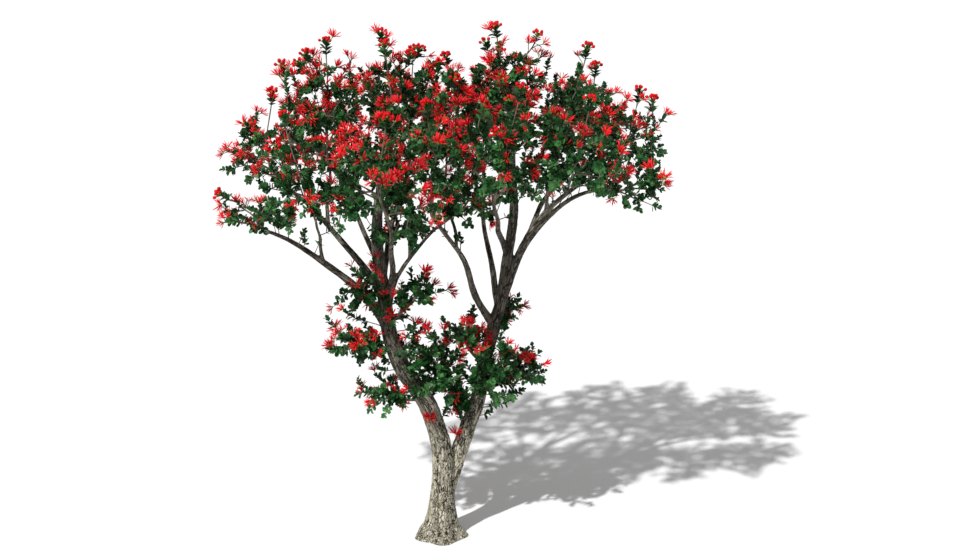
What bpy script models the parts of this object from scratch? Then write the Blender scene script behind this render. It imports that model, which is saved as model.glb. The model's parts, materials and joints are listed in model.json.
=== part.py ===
"""An ohia lehua tree, 3.5 m tall, rooted in level ground: trunk, stems, boughs and masses of foliage.

Metres, +Z up. The origin is the middle of the flat cut under the trunk. +X is the tree's right
as it is usually seen, and +Y is away from the viewer. A heading is an angle in plan, 0 along +X
and 90 along +Y, and a rise is an angle above the level, both in degrees.
"""

import math
import random
from collections import namedtuple

import bmesh
import bpy
from mathutils import Matrix, Vector
from mathutils.geometry import intersect_point_line

# The trunk, its root flare, and the right arm that is fused to it low down
TRUNK_RADIUS = 0.092
FLARE_SPREAD = 0.084
FLARE_FADE = 0.105
FLARE_LOBES = 5
LOBE_DEPTH = 0.10
LOBE_TURN = 0.7

# Neighbouring solids stand this far apart
CLEARANCE = 0.0003

# Rings along a limb, sides round it, how it thins, and how far it sways for its length, with the
# half waves of that in X and in Y
RING_SPACING = 0.14
TRUNK_RING_SPACING = 0.084
TRUNK_SIDES = 10
LEADER_SIDES = 8
THINNING = 0.8
SWAY = 0.016
SWAY_WAVES = (2.3, 2.9)
BARK_CREASE = 50

# Twigs: how they are spread and branch
STEM_TWIG_SIDES = 5
TWIG_SIDES = 3
TWIG_TIP_RADIUS = 0.0034
SPROUT_RADIUS = 0.011
TWIG_RING_SPACING = 0.12
WAY_HELD = 0.6
UPTURN = 0.9
TURN_COST = 0.55
PATH_SHARE = 0.35
TRIES = 4
TIP_TOP = 0.96
TIP_SPAN = 1.5
SHELL = 0.90
SHOOT_REACH = 1.55
SHOOT_STEP = 0.12
SHOOT_TURN = 133
SHOOT_RISE = 74
SHOOT_FALL = 9

# How near a mass comes to the edge of its space, and its leaves and twigs to a limb
SPACE_MARGIN = 0.003
LEAF_MARGIN = 0.004
TWIG_MARGIN = 0.010
LIMB_SEARCH = 1.7

# A spray of leaves or a blossom at a twig's tip, as a pointed dish. `reach` is its radius,
# `notch` the share of it between two points, `cup` how steeply the points rise, and `sunk` how
# far its foot reaches into the twig. Its middle stands above the tip by shares of those two.
Star = namedtuple("Star", "name points reach notch cup sunk")
SPRAY = Star("spray", points=5, reach=0.135, notch=0.42, cup=0.45, sunk=0.007)
BLOSSOM = Star("blossom", points=6, reach=0.075, notch=0.50, cup=0.75, sunk=0.008)
STAR_SIZES = (0.88, 1.12)
POINT_SIZES = (0.78, 1.08)
SHRINKS = (1, 0.8, 0.62)
MIDDLE_OF_SUNK = 0.6
MIDDLE_OF_CUP = 0.12

GOLDEN_TURN = math.pi * (3 - math.sqrt(5))

# Each limb leaves its parent at the share `along` of the parent's length and bends evenly from
# the heading and rise of `leave` to those of `arrive`. `thick` is its radius at either end.
Limb = namedtuple("Limb", "name parent along tip leave arrive thick sides")
TRUNK = Limb("trunk", None, 0, (0.0, -0.02, 0.70), (0, 90), (183, 79), (TRUNK_RADIUS, 0.067), TRUNK_SIDES)
TRUNK_ARM = Limb("trunk_arm", "trunk", 0.30, (0.164, 0.05, 0.70), (8, 76), (10, 71), (0.062, 0.056), TRUNK_SIDES)
STEMS = (
    Limb("left_stem", "trunk", 1, (-0.295, -0.06, 1.36), (183, 79), (178, 70), (0.067, 0.057), TRUNK_SIDES),
    Limb("right_stem", "trunk_arm", 1, (0.370, 0.15, 1.48), (10, 71), (14, 78), (0.056, 0.046), TRUNK_SIDES),
    Limb("left_leader", "left_stem", 1, (-0.345, 0.05, 2.66), (178, 70), (10, 86), (0.057, 0.026), LEADER_SIDES),
    Limb("right_leader", "right_stem", 1, (0.480, 0.12, 2.65), (14, 68), (30, 89), (0.046, 0.024), LEADER_SIDES),
)
BOUGHS = (
    Limb("far_left_bough", "left_leader", 0.07, (-1.10, -0.15, 2.17), (186, 67), (182, 21), (0.038, 0.012), 7),
    Limb("left_riser", "far_left_bough", 0.60, (-0.745, -0.38, 2.28), (230, 80), (250, 70), (0.014, 0.009), 6),
    Limb("left_bough", "left_leader", 0.26, (-0.98, 0.15, 2.38), (175, 59), (172, 36), (0.029, 0.012), 6),
    Limb("left_high_bough", "left_bough", 0.62, (-0.72, 0.10, 2.60), (120, 72), (170, 76), (0.015, 0.010), 6),
    Limb("back_left_bough", "left_leader", 0.25, (-0.68, 0.56, 2.34), (112, 79), (125, 42), (0.026, 0.012), 6),
    Limb("front_left_bough", "left_leader", 0.22, (-0.28, -0.62, 2.34), (330, 76), (258, 48), (0.027, 0.012), 6),
    Limb("rear_left_bough", "left_leader", 0.34, (-0.22, 0.66, 2.50), (60, 78), (84, 46), (0.024, 0.012), 6),
    Limb("centre_bough", "left_leader", 0.13, (0.02, -0.28, 2.23), (350, 84), (338, 38), (0.020, 0.010), 6),
    Limb("centre_riser", "centre_bough", 0.60, (-0.17, -0.30, 2.36), (240, 84), (240, 76), (0.012, 0.008), 6),
    Limb("inner_bough", "right_stem", 0.96, (-0.02, -0.50, 2.34), (208, 58), (212, 50), (0.029, 0.012), 6),
    Limb("inner_riser", "inner_bough", 0.72, (0.05, 0.00, 2.46), (85, 72), (90, 82), (0.013, 0.009), 6),
    Limb("rear_right_bough", "right_leader", 0.07, (0.29, 0.72, 2.42), (165, 76), (92, 50), (0.025, 0.012), 6),
    Limb("front_right_bough", "right_leader", 0.38, (0.36, -0.52, 2.42), (240, 70), (265, 48), (0.024, 0.012), 6),
    Limb("right_low_bough", "right_leader", 0.10, (1.03, -0.28, 2.46), (338, 67), (350, 8), (0.028, 0.012), 7),
    Limb("right_low_riser", "right_low_bough", 0.62, (0.82, -0.46, 2.52), (290, 74), (300, 70), (0.013, 0.009), 6),
    Limb("right_bough", "right_leader", 0.22, (1.05, 0.12, 2.48), (5, 65), (0, 16), (0.031, 0.012), 7),
    Limb("right_riser", "right_bough", 0.56, (0.74, 0.10, 2.60), (20, 84), (100, 86), (0.015, 0.010), 6),
    Limb("right_back_bough", "right_bough", 0.40, (0.92, 0.56, 2.46), (60, 60), (42, 34), (0.020, 0.012), 6),
)
LIMBS = (TRUNK, TRUNK_ARM) + STEMS + BOUGHS

# Each mass grows from the share `along` of its limb, through a space of that centre and half
# size. `shoots` of its `tips` stand out of the top of it, the tallest with the heading `lean`.
Mass = namedtuple("Mass", "name limb along centre half tips shoots lean blossoms")
MASSES = (
    Mass("foliage_far_left", "far_left_bough", 1, (-1.17, -0.14, 2.26), (0.22, 0.24, 0.11), 7, 0, 0, 2),
    Mass("foliage_left", "left_bough", 1, (-1.13, 0.18, 2.60), (0.24, 0.30, 0.26), 8, 1, 70, 2),
    Mass("foliage_left_front", "left_riser", 1, (-0.80, -0.50, 2.51), (0.30, 0.30, 0.28), 8, 1, 150, 2),
    Mass("foliage_left_top", "left_high_bough", 1, (-0.70, 0.08, 2.95), (0.30, 0.32, 0.25), 9, 3, 100, 2),
    Mass("foliage_left_back", "back_left_bough", 1, (-0.78, 0.66, 2.64), (0.32, 0.33, 0.28), 8, 1, 140, 2),
    Mass("foliage_front_left", "front_left_bough", 1, (-0.32, -0.80, 2.56), (0.30, 0.28, 0.28), 8, 1, 300, 2),
    Mass("foliage_rear_left", "rear_left_bough", 1, (-0.22, 0.78, 2.80), (0.30, 0.35, 0.28), 8, 1, 80, 2),
    Mass("foliage_centre_left", "left_leader", 1, (-0.29, 0.08, 2.98), (0.28, 0.32, 0.27), 9, 3, 128, 2),
    Mass("foliage_centre_low", "centre_bough", 1, (0.20, -0.24, 2.38), (0.19, 0.18, 0.16), 6, 0, 0, 1),
    Mass("foliage_inner_left", "centre_riser", 1, (-0.22, -0.34, 2.66), (0.25, 0.22, 0.26), 8, 1, 20, 2),
    Mass("foliage_front", "inner_bough", 1, (0.02, -0.68, 2.62), (0.24, 0.26, 0.28), 8, 1, 240, 2),
    Mass("foliage_centre", "inner_riser", 1, (0.08, 0.00, 2.86), (0.25, 0.30, 0.32), 8, 1, 180, 2),
    Mass("foliage_rear_right", "rear_right_bough", 1, (0.34, 0.79, 2.76), (0.30, 0.34, 0.30), 8, 1, 60, 2),
    Mass("foliage_front_right", "front_right_bough", 1, (0.41, -0.66, 2.68), (0.28, 0.28, 0.30), 8, 1, 330, 2),
    Mass("foliage_right_top", "right_leader", 1, (0.46, 0.08, 3.00), (0.29, 0.32, 0.29), 10, 3, 227, 2),
    Mass("foliage_right_high", "right_riser", 1, (0.84, 0.06, 2.91), (0.28, 0.30, 0.26), 9, 2, 10, 2),
    Mass("foliage_right_front", "right_low_riser", 1, (0.85, -0.58, 2.68), (0.28, 0.26, 0.25), 8, 1, 310, 2),
    Mass("foliage_right", "right_bough", 1, (1.23, 0.16, 2.68), (0.24, 0.28, 0.22), 8, 1, 40, 2),
    Mass("foliage_right_low", "right_low_bough", 1, (1.23, -0.26, 2.48), (0.22, 0.22, 0.14), 7, 0, 0, 2),
    Mass("foliage_right_back", "right_back_bough", 1, (1.00, 0.62, 2.72), (0.30, 0.32, 0.27), 8, 1, 60, 2),
    Mass("sprout_left_low", "left_stem", 0.96, (-0.55, -0.10, 1.40), (0.21, 0.20, 0.13), 6, 0, 0, 2),
    Mass("sprout_left_foot", "left_stem", 0.42, (-0.37, -0.14, 1.07), (0.15, 0.15, 0.10), 5, 0, 0, 1),
    Mass("sprout_far_left", "far_left_bough", 0.26, (-0.48, -0.20, 1.80), (0.16, 0.14, 0.15), 6, 0, 0, 1),
    Mass("sprout_leader", "left_leader", 0.12, (-0.12, -0.16, 1.78), (0.13, 0.14, 0.13), 6, 0, 0, 2),
    Mass("sprout_high", "left_leader", 0.55, (-0.16, -0.17, 2.20), (0.15, 0.14, 0.12), 5, 0, 0, 1),
    Mass("sprout_middle", "right_stem", 0.20, (-0.01, -0.11, 1.26), (0.26, 0.22, 0.27), 9, 0, 0, 2),
    Mass("sprout_inner", "right_stem", 0.62, (0.17, -0.11, 1.43), (0.12, 0.14, 0.15), 5, 0, 0, 2),
    Mass("sprout_fork", "right_stem", 0.36, (0.36, -0.15, 1.23), (0.19, 0.17, 0.21), 7, 0, 0, 2),
    Mass("sprout_right", "right_stem", 0.42, (0.57, 0.10, 1.18), (0.18, 0.20, 0.14), 6, 0, 0, 2),
    Mass("sprout_right_high", "right_stem", 0.94, (0.475, 0.22, 1.585), (0.08, 0.09, 0.08), 4, 0, 0, 1),
)


def clear_scene():
    for thing in list(bpy.data.objects):
        bpy.data.objects.remove(thing, do_unlink=True)


def toward(heading, rise):
    """The unit vector of a heading and a rise."""
    h, r = math.radians(heading), math.radians(rise)
    return Vector((math.cos(h) * math.cos(r), math.sin(h) * math.cos(r), math.sin(r)))


def scaled(direction, half):
    """A direction stretched to an ellipsoid of the given half size."""
    return Vector(a * b for a, b in zip(direction, half))


def bend(start, leave, arrive, end, share):
    """A point on the even curve that leaves `start` along `leave` and reaches `end` along `arrive`."""
    third = (end - start).length / 3
    a, b, t = start + leave * third, end - arrive * third, share
    return start * (1 - t) ** 3 + a * 3 * t * (1 - t) ** 2 + b * 3 * t * t * (1 - t) + end * t ** 3


class Path:
    """A limb's centre line, with its radius at each point."""

    def __init__(self, limb, start, spacing):
        rng = random.Random(limb.name)
        tip, self.end_direction = Vector(limb.tip), toward(*limb.arrive)
        leave = toward(*limb.leave)
        length = (tip - start).length
        count = max(4, round(length / spacing))
        sway = 0 if limb in (TRUNK, TRUNK_ARM) else SWAY * length
        turns = [rng.uniform(0, math.tau) for _ in range(2)]
        self.points, self.radii = [], []
        for i in range(count + 1):
            t = i / count
            point = bend(start, leave, self.end_direction, tip, t)
            swing = sway * math.sin(math.pi * t)
            point.x += swing * math.sin(SWAY_WAVES[0] * math.pi * t + turns[0])
            point.y += swing * math.sin(SWAY_WAVES[1] * math.pi * t + turns[1])
            self.points.append(point)
            self.radii.append(limb.thick[0] + (limb.thick[1] - limb.thick[0]) * t ** THINNING)

    def at(self, along):
        """The point, direction and radius at a share of the limb's length."""
        place = along * (len(self.points) - 1)
        i = min(int(place), len(self.points) - 2)
        t = place - i
        point = self.points[i].lerp(self.points[i + 1], t)
        radius = self.radii[i] + (self.radii[i + 1] - self.radii[i]) * t
        return point, (self.points[i + 1] - self.points[i]).normalized(), radius

    def distance(self, point):
        """How far a point is from the limb's surface."""
        best = math.inf
        for i in range(len(self.points) - 1):
            a, b = self.points[i], self.points[i + 1]
            foot, t = intersect_point_line(point, a, b)
            t = min(1, max(0, t))
            radius = self.radii[i] + (self.radii[i + 1] - self.radii[i]) * t
            best = min(best, (point - a.lerp(b, t)).length - radius)
        return best


def limb_paths():
    """Every limb's path by name, parents first."""
    paths = {}
    for limb in LIMBS:
        start = Vector((0, 0, 0))
        if limb.parent:
            start = paths[limb.parent].at(limb.along)[0]
            if limb.along == 1:
                start += paths[limb.parent].end_direction * CLEARANCE
        spacing = TRUNK_RING_SPACING if limb is TRUNK else RING_SPACING
        paths[limb.name] = Path(limb, start, spacing)
    return paths


def to_object(name, mesh):
    data = bpy.data.meshes.new(name)
    mesh.to_mesh(data)
    mesh.free()
    thing = bpy.data.objects.new(name, data)
    bpy.context.scene.collection.objects.link(thing)
    return thing


def tube(name, points, radii, sides, first, last, reshape=None):
    """A closed tube round a centre line, square to `first` and `last` at its flat ends.

    `reshape` scales a radius by its point and its angle round the line.
    """
    ways = [first] + [(c - a).normalized() for a, c in zip(points, points[2:])] + [last]
    u = Vector((1, 0, 0)) if abs(first.z) > 0.9 else first.orthogonal()
    mesh = bmesh.new()
    rings = []
    for point, radius, way in zip(points, radii, ways):
        u = (u - way * u.dot(way)).normalized()
        v = way.cross(u)
        ring = []
        for k in range(sides):
            angle = math.tau * k / sides
            r = radius * (reshape(point, angle) if reshape else 1)
            ring.append(mesh.verts.new(point + (u * math.cos(angle) + v * math.sin(angle)) * r))
        rings.append(ring)
    for low, high in zip(rings, rings[1:]):
        for k in range(sides):
            j = (k + 1) % sides
            mesh.faces.new((low[k], low[j], high[j], high[k]))
    mesh.faces.new(reversed(rings[0]))
    mesh.faces.new(rings[-1])
    bmesh.ops.triangulate(mesh, faces=mesh.faces[:])
    return to_object(name, mesh)


def apply_boolean(thing, operation, others):
    """Joins `others` to the object, or cuts them from it, and removes them."""
    group = bpy.data.collections.new("operands")
    for other in others:
        bpy.context.scene.collection.objects.unlink(other)
        group.objects.link(other)
    modifier = thing.modifiers.new("Boolean", "BOOLEAN")
    modifier.operation = operation
    modifier.operand_type = "COLLECTION"
    modifier.collection = group
    graph = bpy.context.evaluated_depsgraph_get()
    result = bpy.data.meshes.new_from_object(thing.evaluated_get(graph))
    thing.modifiers.clear()
    thing.data = result
    for other in others:
        bpy.data.objects.remove(other, do_unlink=True)
    bpy.data.collections.remove(group)


def keep_largest(thing):
    """Drops loose scraps, and the inner skin of a hollow that joining has sealed."""
    mesh = bmesh.new()
    mesh.from_mesh(thing.data)
    left, bodies = set(mesh.verts), []
    for vert in mesh.verts:
        if vert not in left:
            continue
        body, front = set(), [vert]
        while front:
            reached = front.pop()
            if reached not in body:
                body.add(reached)
                front += [edge.other_vert(reached) for edge in reached.link_edges]
        bodies.append(body)
        left -= body
    bodies.sort(key=len)
    for body in bodies[:-1]:
        bmesh.ops.delete(mesh, geom=list(body), context="VERTS")
    mesh.to_mesh(thing.data)
    mesh.free()


def trunk_shape(point, angle):
    """The trunk's swelling at the foot, with low lobes where roots run out."""
    fade = math.exp(-point.z / FLARE_FADE)
    lobes = 1 + LOBE_DEPTH * fade * math.cos(FLARE_LOBES * angle + LOBE_TURN)
    return (1 + FLARE_SPREAD / TRUNK_RADIUS * fade) * lobes


def limb_tube(name, limb, path, grown=0.0):
    """A limb's solid, or one grown all round, to cut its neighbours with."""
    points = list(path.points)
    radii = [r + grown / math.cos(math.pi / limb.sides) for r in path.radii]
    first, last = toward(*limb.leave), path.end_direction
    points[0] = points[0] - first * grown
    points[-1] = points[-1] + last * grown
    return tube(name, points, radii, limb.sides, first, last, trunk_shape if limb is TRUNK else None)


def touching(path, other):
    """Whether two limbs come close enough to need a cut between them."""
    return any(other.distance(p) < r + LEAF_MARGIN for p, r in zip(path.points, path.radii))


def build_limbs(paths):
    """The trunk, stems and boughs, each cut clear of the ones before it."""
    trunk = limb_tube("trunk", TRUNK, paths["trunk"])
    apply_boolean(trunk, "UNION", [limb_tube("arm", TRUNK_ARM, paths["trunk_arm"])])
    shown, built = [trunk], [TRUNK, TRUNK_ARM]
    for limb in STEMS + BOUGHS:
        path = paths[limb.name]
        thing = limb_tube(limb.name, limb, path)
        near = [other for other in built if touching(path, paths[other.name])]
        cutters = [limb_tube("cutter", other, paths[other.name], CLEARANCE) for other in near]
        apply_boolean(thing, "DIFFERENCE", cutters)
        keep_largest(thing)
        built.append(limb)
        shown.append(thing)
    return shown


def mass_tips(mass):
    """The tips of a mass's twigs: its tall shoots, then tips spread evenly over its outside."""
    spin = random.Random(mass.name).random()
    centre, half = Vector(mass.centre), Vector(mass.half)
    tips = []
    for k in range(mass.shoots):
        outward = toward(mass.lean + SHOOT_TURN * k, SHOOT_RISE - SHOOT_FALL * k)
        tips.append(centre + scaled(outward, half) * (SHOOT_REACH - SHOOT_STEP * k))
    rest = mass.tips - mass.shoots
    for k in range(rest):
        height = TIP_TOP - TIP_SPAN * (k + 0.5) / rest
        turn = GOLDEN_TURN * k + math.tau * spin
        flat = math.sqrt(1 - height * height)
        outward = (flat * math.cos(turn), flat * math.sin(turn), height)
        tips.append(centre + scaled(outward, half) * SHELL)
    return tips


class Space:
    """The room of one mass: nearer to its centre than to any other's, and clear of every limb."""

    def __init__(self, mass, paths):
        self.centre, self.size = Vector(mass.centre), sum(mass.half) / 3
        self.others = [(Vector(m.centre), sum(m.half) / 3) for m in MASSES if m is not mass]
        reach = max(mass.half) * LIMB_SEARCH
        self.limbs = [path for path in paths.values() if path.distance(self.centre) < reach]

    def holds(self, point):
        own = (point - self.centre).length_squared - self.size ** 2
        for centre, size in self.others:
            room = (point - centre).length_squared - size ** 2 - own
            if room < 2 * SPACE_MARGIN * (centre - self.centre).length:
                return False
        return True

    def takes(self, points, margin):
        """Whether the points are inside, and they and those halfway between are off every limb."""
        tested = points + [a.lerp(b, 0.5) for a, b in zip(points, points[1:])]
        if any(path.distance(p) < margin for path in self.limbs for p in tested):
            return False
        return all(self.holds(p) for p in points)


class Twigs:
    """The branching twigs of one mass, as points that each know the point before them."""

    def __init__(self, root, outward, heart):
        self.heart = heart
        self.points, self.before, self.ways, self.lengths = [root], [-1], [outward], [0.0]
        self.runs = []

    def curve(self, start, tip):
        """A run that leaves a twig gently and turns up and outward at its tip."""
        gap = tip - self.points[start]
        outer = tip - self.heart if tip != self.heart else gap
        arrive = (outer.normalized() + Vector((0, 0, UPTURN))).normalized()
        leave = (self.ways[start] * WAY_HELD + gap.normalized()).normalized()
        steps = max(2, round(gap.length / TWIG_RING_SPACING))
        return [bend(self.points[start], leave, arrive, tip, (i + 1) / steps) for i in range(steps)]

    def cost(self, i, tip):
        """The new wood from a point to a tip, dearer for a sharp turn and for a long way round."""
        gap = tip - self.points[i]
        turn = 1 - self.ways[i].dot(gap.normalized())
        return gap.length * (1 + TURN_COST * turn) + PATH_SHARE * self.lengths[i]

    def add(self, start, curve):
        run = [start]
        for point in curve:
            last = run[-1]
            step = point - self.points[last]
            self.points.append(point)
            self.before.append(last)
            self.ways.append(step.normalized())
            self.lengths.append(self.lengths[last] + step.length)
            run.append(len(self.points) - 1)
        self.runs.append(run)

    def radii(self, root_radius):
        """Each point's radius, from the count of tips beyond it, up to the radius at the root."""
        load = [0] * len(self.points)
        for run in self.runs:
            i = run[-1]
            while i >= 0:
                load[i] += 1
                i = self.before[i]
        span = root_radius - TWIG_TIP_RADIUS
        return [TWIG_TIP_RADIUS + span * math.sqrt((n - 1) / (load[0] - 1)) for n in load]


def grow(mass, paths, space):
    """A stem to the middle of the space, then a twig to each tip from where it costs least."""
    path, heart = paths[mass.limb], Vector(mass.centre)
    root, outward, root_radius = path.at(mass.along)
    if mass.along == 1:
        outward = path.end_direction
        root += outward * CLEARANCE
    else:
        outward = (heart - root).normalized()
        root_radius = SPROUT_RADIUS
    twigs = Twigs(root, outward, heart)
    twigs.add(0, twigs.curve(0, heart))
    for tip in mass_tips(mass):
        order = sorted(range(1, len(twigs.points)), key=lambda i: twigs.cost(i, tip))
        for start in order[:TRIES]:
            curve = twigs.curve(start, tip)
            if space.takes(curve, TWIG_MARGIN):
                twigs.add(start, curve)
                break
    return twigs, root_radius


def star(kind, size, root, way, rng):
    """The corners and mesh of a pointed dish, thickest in the middle, its foot sunk in the twig."""
    u = Matrix.Rotation(rng.random() * math.tau, 3, way) @ way.orthogonal().normalized()
    v = way.cross(u)
    mesh = bmesh.new()
    corners = []
    for k in range(2 * kind.points):
        angle = math.pi * k / kind.points
        reach = kind.reach * size * (kind.notch if k % 2 else rng.uniform(*POINT_SIZES))
        corners.append(root + (u * math.cos(angle) + v * math.sin(angle) + way * kind.cup) * reach)
    rim = [mesh.verts.new(corner) for corner in corners]
    foot = mesh.verts.new(root - way * kind.sunk)
    middle = kind.sunk * MIDDLE_OF_SUNK + kind.cup * kind.reach * size * MIDDLE_OF_CUP
    heart = mesh.verts.new(root + way * middle)
    for a, b in zip(rim, rim[1:] + rim[:1]):
        mesh.faces.new((a, b, heart))
        mesh.faces.new((b, a, foot))
    return corners, mesh


def build_mass(mass, paths):
    """One mass of foliage: its twigs, sprays of leaves and blossoms fused into one solid."""
    space = Space(mass, paths)
    twigs, root_radius = grow(mass, paths, space)
    radii = twigs.radii(root_radius)
    rng = random.Random(mass.name + " leaves")
    blossom_every = max(1, round(len(twigs.runs) / mass.blossoms))
    parts = []
    for n, run in enumerate(twigs.runs):
        line = [twigs.points[i] for i in run]
        thick = [radii[i] for i in run]
        first, way = twigs.ways[run[0]], twigs.ways[run[-1]]
        if n == 0:
            stem = tube(mass.name, line, thick, STEM_TWIG_SIDES, first, way)
            continue
        thick[0] = thick[1]
        parts.append(tube("twig", line, thick, TWIG_SIDES, (line[1] - line[0]).normalized(), way))
        kind = BLOSSOM if n % blossom_every == 0 else SPRAY
        size = rng.uniform(*STAR_SIZES)
        for shrink in SHRINKS:
            corners, mesh = star(kind, size * shrink, line[-1], way, rng)
            if space.takes(corners, LEAF_MARGIN):
                parts.append(to_object(kind.name, mesh))
                break
            mesh.free()
    apply_boolean(stem, "UNION", parts)
    if mass.along < 1:
        root = twigs.points[0]
        carriers = [limb for limb in STEMS + BOUGHS if paths[limb.name].distance(root) < SPROUT_RADIUS]
        cutters = [limb_tube("cutter", limb, paths[limb.name], CLEARANCE) for limb in carriers]
        apply_boolean(stem, "DIFFERENCE", cutters)
    keep_largest(stem)
    return stem


def finish(name, colour, roughness):
    material = bpy.data.materials.new(name)
    material.use_nodes = True
    shader = material.node_tree.nodes["Principled BSDF"]
    shader.inputs["Base Color"].default_value = (*colour, 1)
    shader.inputs["Roughness"].default_value = roughness
    shader.inputs["Metallic"].default_value = 0
    return material


def main():
    clear_scene()
    paths = limb_paths()
    bark = finish("bark", (0.30, 0.26, 0.20), 0.85)
    foliage = finish("foliage", (0.05, 0.15, 0.05), 0.5)
    for thing in build_limbs(paths):
        thing.data.materials.clear()
        thing.data.materials.append(bark)
        thing.data.shade_smooth()
        thing.data.set_sharp_from_angle(angle=math.radians(BARK_CREASE))
    for mass in MASSES:
        thing = build_mass(mass, paths)
        thing.data.materials.clear()
        thing.data.materials.append(foliage)


main()
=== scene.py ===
# The looks of an ohia lehua tree: bark, twigs, leaves, blossoms and buds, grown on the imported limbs.
# Metres, +Z up, the origin in the middle of the cut under the trunk. A heading is an angle in plan,
# 0 along +X and 90 along +Y, and a rise is an angle above the level, both in degrees.

import json
import math
import random
from collections import namedtuple

import bmesh
import bpy
import numpy as np
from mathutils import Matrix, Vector, noise

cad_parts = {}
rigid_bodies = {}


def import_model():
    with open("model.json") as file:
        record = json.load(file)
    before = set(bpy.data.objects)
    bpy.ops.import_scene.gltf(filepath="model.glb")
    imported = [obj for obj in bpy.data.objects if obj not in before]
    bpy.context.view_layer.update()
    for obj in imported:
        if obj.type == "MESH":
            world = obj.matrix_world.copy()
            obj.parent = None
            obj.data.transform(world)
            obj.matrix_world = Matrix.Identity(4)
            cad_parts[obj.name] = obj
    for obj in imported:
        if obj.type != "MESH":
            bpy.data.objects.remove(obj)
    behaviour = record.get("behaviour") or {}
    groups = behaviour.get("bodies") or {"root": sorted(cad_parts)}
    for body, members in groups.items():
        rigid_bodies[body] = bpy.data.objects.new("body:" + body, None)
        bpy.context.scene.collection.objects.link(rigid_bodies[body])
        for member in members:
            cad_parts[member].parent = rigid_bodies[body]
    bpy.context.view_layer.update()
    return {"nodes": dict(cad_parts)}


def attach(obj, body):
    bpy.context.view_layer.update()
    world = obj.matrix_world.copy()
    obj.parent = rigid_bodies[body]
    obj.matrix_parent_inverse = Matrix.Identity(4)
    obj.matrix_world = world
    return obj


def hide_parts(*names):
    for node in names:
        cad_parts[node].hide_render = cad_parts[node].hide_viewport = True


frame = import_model()
print("frame loaded:", len(frame["nodes"]), "solids")

goldenTurn = math.pi * (3 - math.sqrt(5))
up = Vector((0, 0, 1))
noise.seed_set(5)  # or the vector noise takes another seed from the clock in each run


def toward(heading, rise):
    h, r = math.radians(heading), math.radians(rise)
    return Vector((math.cos(h) * math.cos(r), math.sin(h) * math.cos(r), math.sin(r)))


# Camera, light and floor

shot = {
    "place": (0.338, -8.67, 3.998),
    "tilt": 76,  # 90 would look level
    "lens": 50,
    "sensor": 36,
    "sight": 400,
}
light = {
    "shadowHeading": 54,  # the way the shadow falls
    "sunRise": 48,
    "sunPower": 3.9,
    "sunSoftness": 1.3,  # degrees across
    "skyPower": 0.42,
    "floorSize": 150,
    "floorSides": 64,
    "floorGrey": 0.80,
    "floorRoughness": 0.9,
}


def setStage():
    camera = link("camera", bpy.data.cameras.new("camera"))
    camera.location = shot["place"]
    camera.rotation_euler = (math.radians(shot["tilt"]), 0, 0)
    camera.data.lens = shot["lens"]
    camera.data.sensor_width = shot["sensor"]
    camera.data.clip_end = shot["sight"]
    bpy.context.scene.camera = camera

    sun = link("sun", bpy.data.lights.new("sun", "SUN"))
    travel = toward(light["shadowHeading"], -light["sunRise"])
    sun.rotation_euler = travel.to_track_quat("-Z", "Y").to_euler()
    sun.data.energy = light["sunPower"]
    sun.data.angle = math.radians(light["sunSoftness"])

    sky = bpy.data.worlds.new("paleSky")
    sky.use_nodes = True
    background = sky.node_tree.nodes["Background"]
    background.inputs["Color"].default_value = (1, 1, 1, 1)
    background.inputs["Strength"].default_value = light["skyPower"]
    bpy.context.scene.world = sky
    bpy.context.scene.view_settings.view_transform = "Standard"

    mesh = bmesh.new()
    bmesh.ops.create_circle(mesh, cap_ends=True, segments=light["floorSides"], radius=light["floorSize"])
    floor = link("floor", bpy.data.meshes.new("floor"))
    mesh.to_mesh(floor.data)
    mesh.free()
    paint = Paint("floorPaint", light["floorRoughness"], 0)
    grey = light["floorGrey"]
    paint.shader.inputs["Base Color"].default_value = (grey, grey, grey, 1)
    floor.data.materials.append(paint.material)


# Small helpers for meshes and materials

def link(name, data):
    thing = bpy.data.objects.new(name, data)
    bpy.context.scene.collection.objects.link(thing)
    return thing


def dress(thing, material, slot, *nodes):
    thing.data.materials.clear()
    thing.data.materials.append(material)
    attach(thing, "root")
    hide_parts(*nodes)


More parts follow.
